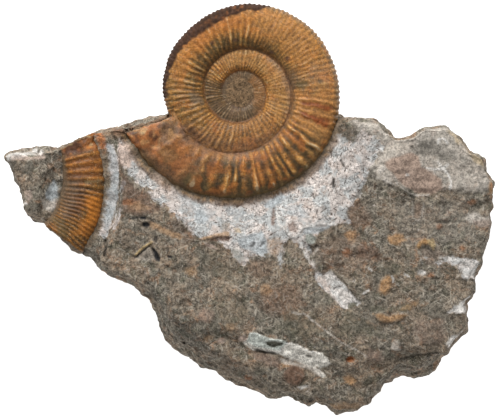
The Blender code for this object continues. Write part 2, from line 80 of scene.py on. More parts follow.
class Stain(Enum):
    """The colours that areas of the rock and of the shells are stained with, and the tones that paint
    highlight and shade onto them.
    """

    WHITE = Tone(222, 218, 212)
    CHALK = Tone(198, 190, 180)
    PINK = Tone(200, 178, 164)
    BLUE_GREY = Tone(172, 178, 180)
    ASH = Tone(160, 153, 143)
    GREEN_GREY = Tone(150, 154, 145)
    MOSS = Tone(98, 95, 80)
    SLATE = Tone(88, 84, 76)
    # Dark specks, and also painted shade in cracks, pits and the furrows between ribs.
    SOOT = Tone(48, 44, 40)
    UMBER = Tone(112, 84, 68)
    CLAY = Tone(148, 126, 112)
    TAN = Tone(172, 138, 104)
    SAND = Tone(190, 165, 120)
    RUST = Tone(158, 98, 56)
    EMBER = Tone(176, 104, 50)
    AMBER = Tone(186, 124, 62)
    OCHRE = Tone(168, 128, 80)
    OLIVE = Tone(98, 84, 54)
    BARK = Tone(84, 60, 48)
    FLAME = Tone(196, 122, 46)
    GREY_BROWN = Tone(122, 104, 84)
    FERN = Tone(72, 60, 40)
    BAND = Tone(48, 31, 24)
    REDWOOD = Tone(128, 64, 30)
    PALE_GREEN = Tone(206, 211, 202)
    CREAM = Tone(240, 235, 224)
    HONEY = Tone(190, 144, 96)
    # Painted shade, laid in slots, holes and cracks.
    INK = Tone(36, 38, 42)
    # Painted highlight, laid along the crests of the shell's ribs.
    SHEEN = Tone(206, 186, 150)
    ROSE = Tone(161, 139, 124)


Value = float | tuple | Tone | Socket


# Sums over many places at once

def ease(low: float, high: float, value: Array) -> Array:
    """Eases from 0 at low to 1 at high.

    Args:
        low: the value where it starts.
        high: the value where it ends.
        value: the values to ease.

    Returns:
        An array of the same shape, from 0 to 1.
    """
    share = np.clip((np.asarray(value, float) - low) / (high - low), 0.0, 1.0)
    return share * share * (3.0 - 2.0 * share)


def within(value: Array, span: Place, edge: float) -> Array:
    """Eases to 1 between the two ends of a span, over this much on either side of each end."""
    return ease(span[0] - edge, span[0] + edge, value) * ease(span[1] + edge, span[1] - edge, value)


def scattered(cells: Array, seed: int) -> Array:
    """A fixed number from 0 to 1 for each whole-numbered cell of space.

    Args:
        cells: whole numbers, three for each cell.
        seed: a number that picks one pattern out of many.

    Returns:
        One number for each cell.
    """
    key = cells @ np.array([73856093, 19349663, 83492791]) + seed * 961748941
    key = (key ^ (key >> 13)) * 1274126177
    key = (key ^ (key >> 16)) & 0xFFFFF
    return key / 0xFFFFF


def wander(places: Array, size: float, seed: int) -> Array:
    """Smooth noise over space.

    Args:
        places: points in millimetres, one in each row.
        size: how far apart its swells are, in millimetres.
        seed: a number that picks one pattern out of many.

    Returns:
        One number of -1 to 1 for each place.
    """
    scaled = places / size
    corner = np.floor(scaled).astype(np.int64)
    part = scaled - corner
    part = part * part * (3.0 - 2.0 * part)
    total = np.zeros(len(places))
    for step in np.ndindex(2, 2, 2):
        weight = np.prod(np.where(np.array(step, bool), part, 1.0 - part), axis=1)
        total += weight * scattered(corner + step, seed)
    return 2.0 * total - 1.0


def swells(places: Array, *layers: tuple[float, float, int]) -> Array:
    """The sum of layers of smooth noise, each given by its strength, its size and its seed."""
    return sum(strength * wander(places, size, seed) for strength, size, seed in layers)


def grains(places: Array, size: float, seed: int) -> tuple[Array, Array]:
    """Space cut up into rounded grains.

    Args:
        places: points in millimetres, one in each row.
        size: how far apart the grains are, in millimetres.
        seed: a number that picks one pattern out of many.

    Returns:
        Each place's distance from its grain's middle in grain sizes, and its grain's own number.
    """
    scaled = places / size
    home = np.floor(scaled).astype(np.int64)
    nearest = np.full(len(places), np.inf)
    number = np.zeros(len(places))
    for step in np.ndindex(3, 3, 3):
        cell = home + step - 1
        middle = cell + np.stack([scattered(cell, seed + axis) for axis in (1, 2, 3)], axis=1)
        gap = np.linalg.norm(scaled - middle, axis=1)
        closer = gap < nearest
        nearest = np.where(closer, gap, nearest)
        number = np.where(closer, scattered(cell, seed), number)
    return nearest, number


def round_section(side: Array) -> Array:
    """How wide a whorl still is at a share of its height, or how high at a share of its width."""
    return (1.0 - np.minimum(np.abs(side), 1.0) ** SECTION) ** (1.0 / SECTION)


def section_ring(turned: Array) -> tuple[Array, Array]:
    """How far across and up the edge of a whorl's section lies, at angles round it in radians."""
    ways = (np.cos(turned), np.sin(turned))
    return tuple(np.sign(way) * np.abs(way) ** (2.0 / SECTION) for way in ways)


# Work on meshes

class Kept(Enum):
    """What a piece can keep at its points: Blender's name for its kind and for its value."""

    NUMBER = ("FLOAT", "value")
    COLOUR = ("FLOAT_COLOR", "color")
    PLACE = ("FLOAT_VECTOR", "vector")


def read(items: bpy.types.bpy_prop_collection, name: str, size: int = 1, kind: type = float) -> Array:
    """Reads a value of every item of a mesh.

    Args:
        items: the points, faces or corners.
        name: the value's name.
        size: how many numbers it has.
        kind: the kind of number.

    Returns:
        The values, one item in each row where size is more than 1.
    """
    values = np.zeros(len(items) * size, kind)
    items.foreach_get(name, values)
    return values.reshape(-1, size) if size > 1 else values


def places_of(piece: Piece) -> Array:
    """Places of a piece's points, in millimetres, one in each row."""
    return read(piece.data.vertices, "co", 3) / MM


def facings_of(piece: Piece) -> Array:
    """Which way the surface faces at each of a piece's points."""
    return read(piece.data.vertex_normals, "vector", 3)


def set_places(piece: Piece, places: Array) -> None:
    """Puts a piece's points at places that are given in millimetres."""
    piece.data.vertices.foreach_set("co", (places * MM).ravel())
    piece.data.update()


def keep(piece: Piece, name: str, values: Array, kind: Kept = Kept.NUMBER) -> None:
    """Keeps a value at each of a piece's points under a name, for its material to read."""
    layer = piece.data.attributes.new(name, kind.value[0], "POINT")
    layer.data.foreach_set(kind.value[1], np.asarray(values, np.float32).ravel())


def pick(*pieces: Piece) -> None:
    """Selects these pieces alone, and makes the first of them active."""
    bpy.ops.object.select_all(action="DESELECT")
    for piece in pieces:
        piece.select_set(True)
    bpy.context.view_layer.objects.active = pieces[0]


def work_over(piece: Piece, kind: str, **settings: object) -> None:
    """Adds a modifier to a piece and applies it.

    Args:
        piece: the piece to change.
        kind: the modifier's type.
        settings: what to set on it before it is applied.
    """
    pick(piece)
    modifier = piece.modifiers.new(kind.title(), kind)
    for key, value in settings.items():
        setattr(modifier, key, value)
    bpy.ops.object.modifier_apply(modifier=modifier.name)


def merge_doubles(piece: Piece, gap: float, outwards: bool = False) -> None:
    """Merges points that lie on each other.

    Args:
        piece: the piece to clean.
        gap: how close they lie, in millimetres.
        outwards: True to turn every face outwards as well.
    """
    pick(piece)
    bpy.ops.object.mode_set(mode="EDIT")
    bpy.ops.mesh.select_all(action="SELECT")
    bpy.ops.mesh.remove_doubles(threshold=gap * MM)
    if outwards:
        bpy.ops.mesh.normals_make_consistent(inside=False)
    bpy.ops.object.mode_set(mode="OBJECT")


def skinned(piece: Piece, voxel: float, rounds: int) -> tuple[Array, Array]:
    """Gives a piece one closed skin of small even faces, a little smoothed.

    Args:
        piece: the piece.
        voxel: the faces' size, in millimetres.
        rounds: how often it is smoothed.

    Returns:
        The places of its points, and which way the surface faces at each.
    """
    work_over(piece, "REMESH", mode="VOXEL", voxel_size=voxel * MM)
    work_over(piece, "SMOOTH", factor=0.5, iterations=rounds)
    return places_of(piece), facings_of(piece)


def thin_out(piece: Piece, spare: Array, left: float) -> None:
    """Makes the mesh coarser where it is seen least.

    Args:
        piece: the piece to thin out.
        spare: True at each point that may go.
        left: the share of those points' triangles that is left.
    """
    group = piece.vertex_groups.new(name="spare")
    group.add([int(i) for i in np.flatnonzero(spare)], 1.0, "REPLACE")
    sides = read(piece.data.polygons, "loop_total", kind=np.int32)
    starts = read(piece.data.polygons, "loop_start", kind=np.int32)
    corners = read(piece.data.loops, "vertex_index", kind=np.int32)
    inside = np.add.reduceat(spare[corners].astype(np.int32), starts) == sides
    going = (1.0 - left) * float((sides[inside] - 2).sum())
    work_over(piece, "DECIMATE", ratio=1.0 - going / float((sides - 2).sum()), vertex_group=group.name)
    piece.vertex_groups.clear()


# Marks on the surfaces

def off_line(x: Array, y: Array, ends: list[Place]) -> Array:
    """Distance from places to a line with corners.

    Args:
        x: the places' x.
        y: the places' y.
        ends: the line's ends and corners, in order.

    Returns:
        The distances, in millimetres.
    """
    gap = np.full(len(x), np.inf)
    for (ax, ay), (bx, by) in zip(ends, ends[1:]):
        side_x, side_y = bx - ax, by - ay
        length = max(side_x * side_x + side_y * side_y, 1e-9)
        along = np.clip(((x - ax) * side_x + (y - ay) * side_y) / length, 0.0, 1.0)
        gap = np.minimum(gap, np.hypot(x - ax - along * side_x, y - ay - along * side_y))
    return gap


@dataclass(frozen=True)
class Mark:
    """A stained or worked area, seen from straight above.

    Its line holds the x and y of its points in turn, and its lift is the height that it adds.
    """

    stain: Stain
    cover: float
    edge: float
    ragged: float
    line: tuple[float, ...]
    lift: float = field(default=0.0, kw_only=True)

    def points(self) -> list[Place]:
        """The points of its line, in pairs of x and y."""
        return list(zip(self.line[::2], self.line[1::2]))

    def girth(self) -> float:
        """How far the area can reach past its points, in millimetres."""
        return 0.0

    def depth(self, x: Array, y: Array) -> Array:
        """Distance in from the area's outline in millimetres, negative outside it."""
        raise NotImplementedError

    def share(self, places: Array) -> tuple[Array, Array]:
        """How much of the mark there is.

        Args:
            places: points in millimetres.

        Returns:
            The rows that the mark can reach, and its share at each of them, from 0 to 1.
        """
        girth, more = self.girth(), self.edge + self.ragged
        near = np.ones(len(places), bool)
        for axis in (0, 1):
            low, high = min(self.line[axis::2]) - girth - more, max(self.line[axis::2]) + girth + more
            near &= (places[:, axis] > low) & (places[:, axis] < high)
        rows = np.flatnonzero(near)
        spot = places[rows]
        depth = self.depth(spot[:, 0], spot[:, 1])
        wobble = swells(spot, (0.6, 1.9, 31), (0.4, 0.8, 32))
        return rows, ease(-0.5 * self.edge, 0.5 * self.edge, depth + self.ragged * wobble)


class Patch(Mark):
    """A mark with corners."""

    def depth(self, x: Array, y: Array) -> Array:
        """Distance in from the patch's outline.

        Args:
            x: the places' x.
            y: the places' y.

        Returns:
            The distances, negative outside the patch.
        """
        corners = self.points()
        inside = np.zeros(len(x), bool)
        for (ax, ay), (bx, by) in zip(corners, corners[1:] + corners[:1]):
            rise = by - ay if by != ay else 1.0
            inside ^= ((ay > y) != (by > y)) & (x < ax + (y - ay) * (bx - ax) / rise)
        gap = off_line(x, y, corners + corners[:1])
        return np.where(inside, gap, -gap)


@dataclass(frozen=True)
class Streak(Mark):
    """A mark that follows a line."""

    width: float

    def girth(self) -> float:
        """How far the area can reach past its points, in millimetres."""
        return self.width

    def depth(self, x: Array, y: Array) -> Array:
        """Distance in from the streak's outline in millimetres, negative outside it."""
        return 0.5 * self.width - off_line(x, y, self.points())


@dataclass(frozen=True)
class Spot(Mark):
    """A round or oval mark about one point, turned by an angle."""

    radii: Place
    turned: float = 0.0

    def girth(self) -> float:
        """How far the area can reach past its middle, in millimetres."""
        return max(self.radii)

    def depth(self, x: Array, y: Array) -> Array:
        """Distance in from the spot's outline.

        Args:
            x: the places' x.
            y: the places' y.

        Returns:
            The distances, negative outside the spot.
        """
        turned = math.radians(self.turned)
        across, up = x - self.line[0], y - self.line[1]
        along = across * math.cos(turned) + up * math.sin(turned)
        aside = up * math.cos(turned) - across * math.sin(turned)
        return (1.0 - np.hypot(along / self.radii[0], aside / self.radii[1])) * min(self.radii)


def off_outline(spots: Array, outline: Array) -> tuple[Array, Array]:
    """How far places lie from a closed outline.

    Args:
        spots: the places' x and y, one place in each row.
        outline: the outline's corners.

    Returns:
        The distances, negative inside the outline, and the outline's point nearest to each place.
    """
    middle, reach = outline.mean(axis=0), np.ptp(outline, axis=0).max()
    close = np.abs(spots - middle).max(axis=1) < reach
    if not close.all():
        all_gaps, all_nearest = np.full(len(spots), reach), np.tile(middle, (len(spots), 1))
        all_gaps[close], all_nearest[close] = off_outline(spots[close], outline)
        return all_gaps, all_nearest
    gaps, nearest = np.full(len(spots), np.inf), np.zeros((len(spots), 2))
    inside = np.zeros(len(spots), bool)
    x, y = spots[:, 0], spots[:, 1]
    for start, end in zip(outline, np.roll(outline, -1, axis=0)):
        side = end - start
        along = np.clip((spots - start) @ side / max(side @ side, 1e-9), 0.0, 1.0)
        target = start + along[:, None] * side
        gap = np.linalg.norm(spots - target, axis=1)
        closer = gap < gaps
        gaps = np.where(closer, gap, gaps)
        nearest[closer] = target[closer]
        rise = side[1] if side[1] else 1.0
        inside ^= ((start[1] > y) != (end[1] > y)) & (x < start[0] + (y - start[1]) * side[0] / rise)
    return np.where(inside, -gaps, gaps), nearest


@dataclass(frozen=True)
class Band:
    """A stained stretch of a whorl, between two angles and between two shares of its width."""

    stain: Stain
    cover: float
    angles: Place
    shares: Place = (-0.5, 1.5)
    soft: Place = (7.0, 0.12)

    def share_at(self, angle: Array, share: Array, wobble: Array) -> Array:
        """How much of the stain there is.

        Args:
            angle: each place's angle along the coil.
            share: its share of the way from the seam to the venter.
            wobble: noise of -1 to 1 that frays the edges.

        Returns:
            The share of the stain, from 0 to 1.
        """
        turn, across = angle + 1.2 * self.soft[0] * wobble, share + 1.2 * self.soft[1] * wobble
        along = self.cover * within(turn, self.angles, self.soft[0])
        return along * within(across, self.shares, self.soft[1])


@dataclass(frozen=True)
class Nudge:
    """A stretch of the block's edge that stands a little further out or in than the solid's."""

    middle: Place
    shift: Place
    radius: float

    def moved(self, places: Array) -> Array:
        """How far each place moves in x and y, in millimetres."""
        gap = np.hypot(places[:, 0] - self.middle[0], places[:, 1] - self.middle[1])
        return ease(self.radius, 0, gap)[:, None] * np.array(self.shift)


@dataclass
class Paint:
    """The stains, painted highlight and painted shade on one piece: at each point a colour and how much of it
    there is.
    """

    places: Array
    colours: Array = field(init=False)

    def __post_init__(self) -> None:
        """Starts with no stain anywhere."""
        self.colours = np.zeros((len(self.places), 4))

    def lay(self, stain: Stain, share: Array, rows: Array | None = None) -> None:
        """Lays one colour over what is there.

        Args:
            stain: the colour.
            share: how much of it there is, from 0 to 1, at each row.
            rows: the rows to change, or None for all.
        """
        rows = np.arange(len(self.places)) if rows is None else rows
        share = np.clip(share, 0.0, 1.0)[:, None]
        self.colours[rows] = self.colours[rows] * (1.0 - share) + np.array(stain.value.linear()) * share

    def mark(self, marks: tuple[Mark, ...], seen: Array) -> None:
        """Lays a row of marks.

        Args:
            marks: the marks, the lowest first.
            seen: how far each point faces the side that they are on, from 0 to 1.
        """
        for mark in marks:
            rows, share = mark.share(self.places)
            self.lay(mark.stain, mark.cover * share * seen[rows], rows)


def lifted(places: Array, marks: tuple[Mark, ...]) -> Array:
    """Height that a row of marks adds.

    Args:
        places: points in millimetres.
        marks: the marks.

    Returns:
        The height to add at each place, in millimetres.
    """
    height = np.zeros(len(places))
    for mark in marks:
        if mark.lift:
            rows, share = mark.share(places)
            height[rows] += mark.lift * share
    return height


# The shaders' shared parts

class Wiring:
    """Adds nodes to one node tree and joins them up."""

    def __init__(self, tree: bpy.types.NodeTree) -> None:
        """Starts with an empty tree."""
        self.tree = tree
        tree.nodes.clear()

    def add(self, kind: str, settings: dict | None = None, **inputs: Value) -> bpy.types.Node:
        """Adds a node.

        Args:
            kind: the node's type.
            settings: what to set on the node itself.
            inputs: what each input gets; an underscore stands for a space in its name.

        Returns:
            The node.
        """
        node = self.tree.nodes.new(kind)
        for key, value in (settings or {}).items():
            setattr(node, key, value)
        for key, value in inputs.items():
            self.feed(node.inputs[key.replace("_", " ")], value)
        return node

    def feed(self, socket: Socket, value: Value) -> None:
        """Gives an input a value, or joins another node's output to it.

        Args:
            socket: the input.
            value: what it gets.
        """
        if isinstance(value, Socket):
            self.tree.links.new(value, socket)
        else:
            socket.default_value = value.linear() if isinstance(value, Tone) else value

    def math(self, operation: str, *values: Value) -> Socket:
        """The result of one sum on one or two numbers.

        Args:
            operation: Blender's name for the sum.
            values: the numbers.

        Returns:
            The result.
        """
        node = self.add("ShaderNodeMath", {"operation": operation})
        for socket, value in zip(node.inputs, values):
            self.feed(socket, value)
        return node.outputs[0]

    def times(self, first: Value, second: Value) -> Socket:
        """One number times another."""
        return self.math("MULTIPLY", first, second)

    def most(self, first: Value, second: Value) -> Socket:
        """The greater of two numbers."""
        return self.math("MAXIMUM", first, second)

    def scaled(self, vector: Value, factor: Value) -> Socket:
        """A position or a colour, scaled by a factor."""
        settings = {"operation": "SCALE"}
        return self.add("ShaderNodeVectorMath", settings, Vector=vector, Scale=factor).outputs[0]

    def stretched(self, vector: Value, factors: tuple[float, float, float]) -> Socket:
        """A position, scaled by a factor of its own along each axis.

        Args:
            vector: the position.
            factors: the three factors.

        Returns:
            The new position.
        """
        node = self.add("ShaderNodeVectorMath", {"operation": "MULTIPLY"})
        self.feed(node.inputs[0], vector)
        self.feed(node.inputs[1], factors)
        return node.outputs[0]

    def mix(self, share: Value, first: Value, second: Value, blend: str = "MIX") -> Socket:
        """Two colours mixed.

        Args:
            share: the share of the second.
            first: a colour.
            second: the other colour.
            blend: Blender's name for the way of mixing.

        Returns:
            The mixed colour.
        """
        node = self.add("ShaderNodeMix", {"data_type": "RGBA", "blend_type": blend})
        for socket, value in zip((node.inputs[0], node.inputs[6], node.inputs[7]), (share, first, second)):
            self.feed(socket, value)
        return node.outputs[2]

    def over(self, base: Value, mask: Value, cover: float, tone: Tone) -> Socket:
        """A colour with a tone laid over it, by a mask times its cover."""
        return self.mix(self.times(mask, cover), base, tone)

    def between(self, value: Value, low: float, high: float) -> Socket:
        """Eases from 0 where a value is low to 1 where it is high."""
        settings = {"interpolation_type": "SMOOTHSTEP"}
        return self.add("ShaderNodeMapRange", settings, Value=value, From_Min=low, From_Max=high).outputs[0]

    def spread(self, value: Value, least: float, most: float) -> Socket:
        """A number of 0 to 1, spread from least to most."""
        return self.add("ShaderNodeMapRange", Value=value, To_Min=least, To_Max=most).outputs[0]

    def cloud(self, place: Value, size: float, detail: float = 2.0, bend: float = 0.0) -> Socket:
        """Smooth noise of 0 to 1 whose swells are size apart, in the units of place."""
        inputs = {"Vector": place, "Scale": 1.0 / size, "Detail": detail, "Distortion": bend}
        return self.add("ShaderNodeTexNoise", Roughness=0.6, **inputs).outputs["Fac"]

    def patches(self, place: Value, size: float, detail: float, bend: float, span: Place) -> Socket:
        """Patches of smooth noise, eased from 0 at the span's low end to 1 at its high end."""
        return self.between(self.cloud(place, size, detail, bend), *span)

    def kept(self, name: str, output: str = "Fac") -> Socket:
        """What a piece keeps at its points under a name."""
        return self.add("ShaderNodeAttribute", {"attribute_name": name}).outputs[output]


class Group(Enum):
    """The effects that more than one finish uses."""

    GRAIN = "grain"
    STROKES = "strokes"
    STAINED = "stained"


class Effects:
    """Builds the shared node groups once and places them in the finishes."""

    def __init__(self) -> None:
        """Builds every group."""
        self.made = {Group.GRAIN: self.grain(), Group.STROKES: self.strokes(), Group.STAINED: self.stained()}

    @staticmethod
    def started(group: Group, inputs: dict[str, str], outputs: str) -> tuple[Wiring, object, object]:
        """Starts a group.

        Args:
            group: the group.
            inputs: the kind of each input, by its name.
            outputs: the names of its outputs, all of them numbers but Colour.

        Returns:
            Its wiring, its input node's outputs and its output node's inputs.
        """
        tree = bpy.data.node_groups.new(group.value, "ShaderNodeTree")
        given_out = {label: "Color" if label == "Colour" else "Float" for label in outputs.split()}
        for way, sockets in (("INPUT", inputs), ("OUTPUT", given_out)):
            for label, kind in sockets.items():
                tree.interface.new_socket(name=label, in_out=way, socket_type=f"NodeSocket{kind}")
        work = Wiring(tree)
        return work, work.add("NodeGroupInput").outputs, work.add("NodeGroupOutput").inputs

    def grain(self) -> bpy.types.NodeTree:
        """Grains of stone.

        Returns:
            The group of light and dark mottling, pale specks, dark pits and their height.
        """
        inputs = {"Place": "Vector", "Size": "Float"}
        work, given, out = self.started(Group.GRAIN, inputs, "Mottle Specks Pits Height")
        place = work.scaled(given["Place"], work.math("DIVIDE", 1.0, given["Size"]))
        coarse, fine = work.cloud(place, 2.4, 3, 0.7), work.cloud(place, 1.1, 2, 0.6)
        both = work.math("ADD", work.times(coarse, 0.55), work.times(fine, 0.45))
        holes = work.cloud(work.scaled(place, -0.83), 1.2, 1, 0.5)
        work.feed(out["Mottle"], work.between(both, 0.37, 0.63))
        work.feed(out["Specks"], work.patches(place, 0.9, 1, 0, (0.62, 0.74)))
        work.feed(out["Pits"], work.between(holes, 0.64, 0.76))
        work.feed(out["Height"], work.math("SUBTRACT", both, work.times(work.between(holes, 0.6, 0.8), 0.5)))
        return work.tree

    def strokes(self) -> bpy.types.NodeTree:
        """Thin strokes, as of scratches, shell splinters and fibres.

        Returns:
            The group of curved strokes and short straight dashes.
        """
        work, given, out = self.started(Group.STROKES, {"Place": "Vector", "Size": "Float"}, "Strokes Dashes")
        place = work.scaled(given["Place"], work.math("DIVIDE", 1.0, given["Size"]))
        off = work.math("ABSOLUTE", work.math("SUBTRACT", work.cloud(place, 2, 1, 1.2), 0.5))
        line = work.math("SUBTRACT", 1, work.between(off, 0.012, 0.045))
        breaks = work.patches(work.scaled(place, 1.1), 1.6, 1, 0, (0.47, 0.57))
        work.feed(out["Strokes"], work.times(line, breaks))
        dashes = 0.0
        for turn in (0.5, 1.6, 2.6):
            turned = work.add("ShaderNodeVectorRotate", {"rotation_type": "Z_AXIS"}, Vector=place, Angle=turn)
            drawn_out = work.stretched(turned.outputs[0], (0.34, 1.35, 1.0))
            dashes = work.most(dashes, work.patches(drawn_out, 0.9, 1, 0, (0.64, 0.74)))
        work.feed(out["Dashes"], dashes)
        return work.tree

    def stained(self) -> bpy.types.NodeTree:
        """The stains that a piece keeps.

        Returns:
            The group that lays them over a base colour, broken up by the grain.
        """
        inputs = {"Base": "Color", "Stain": "Color", "Cover": "Float", "Mottle": "Float", "Break": "Float"}
        work, given, out = self.started(Group.STAINED, inputs, "Colour")
        swing = work.times(work.math("SUBTRACT", given["Mottle"], 0.5), given["Break"])
        stain = work.scaled(given["Stain"], work.math("ADD", 1.0, swing))
        base = work.scaled(given["Base"], work.math("SUBTRACT", 1.0, given["Cover"]))
        work.feed(out["Colour"], work.mix(1.0, base, stain, "ADD"))
        return work.tree


# Finishes

class Ground(Wiring):
    """The wiring of one material, with its places in millimetres, its grain and the shared groups."""

    def __init__(self, name: str, effects: Effects, grain: float) -> None:
        """Starts the material.

        Args:
            name: its name.
            effects: the shared groups.
            grain: how large its grains are, in millimetres.
        """
        self.made = bpy.data.materials.new(name)
        self.made.use_nodes = True
        super().__init__(self.made.node_tree)
        self.effects = effects
        self.place = self.scaled(self.add("ShaderNodeTexCoord").outputs["Object"], 1.0 / MM)
        self.grain = self.placed(Group.GRAIN, Place=self.place, Size=grain)

    def placed(self, group: Group, **inputs: Value) -> bpy.types.bpy_prop_collection:
        """The outputs of a shared group, placed with this material's own values."""
        return self.add("ShaderNodeGroup", {"node_tree": self.effects.made[group]}, **inputs).outputs

    def stained(self, base: Value, broken_up: float) -> Socket:
        """Lays the piece's stains over a colour.

        Args:
            base: the colour.
            broken_up: how strongly the grain breaks the stains up.

        Returns:
            The stained colour.
        """
        stain, cover = self.kept("stain", "Color"), self.kept("stain", "Alpha")
        inputs = {"Base": base, "Stain": stain, "Cover": cover, "Mottle": self.grain["Mottle"]}
        return self.placed(Group.STAINED, Break=broken_up, **inputs)["Colour"]

    def ended(self, colour: Value, roughness: Value, relief: float, gloss: float) -> Material:
        """Ends the material.

        Args:
            colour: its colour.
            roughness: its roughness.
            relief: how high its grain stands, in millimetres.
            gloss: how strongly it mirrors, with 0.5 as the usual strength.

        Returns:
            The material.
        """
        bump = self.add("ShaderNodeBump", Strength=1.0, Distance=relief * MM, Height=self.grain["Height"])
        shader = self.add(
            "ShaderNodeBsdfPrincipled", Base_Color=colour, Roughness=roughness, Specular_IOR_Level=gloss,
            Normal=bump.outputs["Normal"],
        )
        self.add("ShaderNodeOutputMaterial", Surface=shader.outputs["BSDF"])
        return self.made


@dataclass(frozen=True)
class LimestoneFinish:
    """Rough grey-brown limestone, pale and pitted where it was worked."""

    warm: Tone = Tone(134, 119, 102)
    cool: Tone = Tone(118, 111, 99)
    red: Tone = Tone(142, 112, 88)
    moss: Tone = Tone(94, 92, 78)
    fleck: Tone = Tone(206, 196, 180)
    pit: Tone = Tone(52, 47, 42)
    worked_pink: Tone = Tone(214, 204, 197)
    worked_blue: Tone = Tone(190, 191, 189)
    worked_tan: Tone = Tone(164, 143, 128)
    worked_pit: Tone = Tone(70, 58, 50)
    worked_chip: Tone = Tone(238, 234, 228)
    grain: float = 0.46
    relief: float = 0.28
    gloss: float = 0.25
    roughness: float = 0.88

    def rock(self, work: Ground) -> Socket:
        """Colours the rock as it broke.

        Args:
            work: the material's wiring.

        Returns:
            The colour.
        """
        place, mottle = work.place, work.grain["Mottle"]
        base = work.mix(work.patches(place, 11, 3, 0.3, (0.4, 0.6)), self.warm, self.cool)
        base = work.over(base, work.patches(place, 3.4, 4, 0.5, (0.5, 0.7)), 0.85, self.red)
        mossy = work.patches(work.scaled(place, -1.07), 4, 4, 0.6, (0.5, 0.68))
        base = work.over(base, mossy, 0.75, self.moss)
        lumps = work.patches(work.scaled(place, 1.02), 2.2, 3, 0.8, (0.3, 0.7))
        base = work.scaled(base, work.times(work.spread(lumps, 0.7, 1.3), work.spread(mottle, 0.5, 1.5)))
        light = work.placed(Group.STROKES, Place=place, Size=1.3)
        dark = work.placed(Group.STROKES, Place=work.scaled(place, -0.9), Size=1.1)
        flecks = work.most(work.times(light["Strokes"], 0.6), light["Dashes"])
        base = work.over(base, work.most(flecks, work.grain["Specks"]), 0.5, self.fleck)
        holes = work.most(work.times(dark["Dashes"], 0.8), work.grain["Pits"])
        return work.over(base, holes, 0.75, self.pit)

    def worked(self, work: Ground) -> Socket:
        """Colours the rock where it was scraped away.

        Args:
            work: the material's wiring.

        Returns:
            The colour.
        """
        place, mottle = work.place, work.grain["Mottle"]
        bluish = work.patches(work.scaled(place, 0.98), 5.5, 2, 0.5, (0.44, 0.58))
        base = work.mix(bluish, self.worked_pink, self.worked_blue)
        tan = work.patches(work.scaled(place, -1), 2.2, 4, 0.7, (0.5, 0.66))
        margin = work.between(work.kept("worked"), 1, 0.55)
        base = work.over(base, work.times(tan, work.spread(margin, 0.6, 1)), 0.8, self.worked_tan)
        lumps = work.patches(work.scaled(place, 1.06), 1.9, 3, 0.9, (0.32, 0.68))
        grainy = work.times(work.spread(lumps, 0.8, 1.12), work.spread(mottle, 0.5, 1.4))
        even = work.times(work.patches(work.scaled(place, -1.04), 4.4, 3, 0.5, (0.46, 0.6)), 0.7)
        grainy = work.times(grainy, work.math("SUBTRACT", 1.0, even))
        base = work.scaled(base, work.math("ADD", grainy, work.times(even, 0.94)))
        marked = work.placed(Group.STROKES, Place=work.scaled(place, -1.1), Size=1.0)
        holes = work.most(work.times(marked["Strokes"], 0.3), marked["Dashes"])
        base = work.over(base, work.grain["Specks"], 0.6, self.worked_chip)
        return work.over(base, work.most(holes, work.grain["Pits"]), 0.9, self.worked_pit)

    def material(self, effects: Effects) -> Material:
        """Makes the material.

        Args:
            effects: the shared groups.

        Returns:
            The material, with the shared groups placed in it.
        """
        work = Ground("rough_limestone", effects, self.grain)
        edge = work.times(work.math("SUBTRACT", work.cloud(work.place, 1.8, 4, 0.6), 0.5), 2.2)
        share = work.between(work.math("ADD", work.kept("worked"), edge), 0.22, 0.82)
        base = work.mix(share, self.rock(work), self.worked(work))
        return work.ended(work.stained(base, 0.85), self.roughness, self.relief, self.gloss)


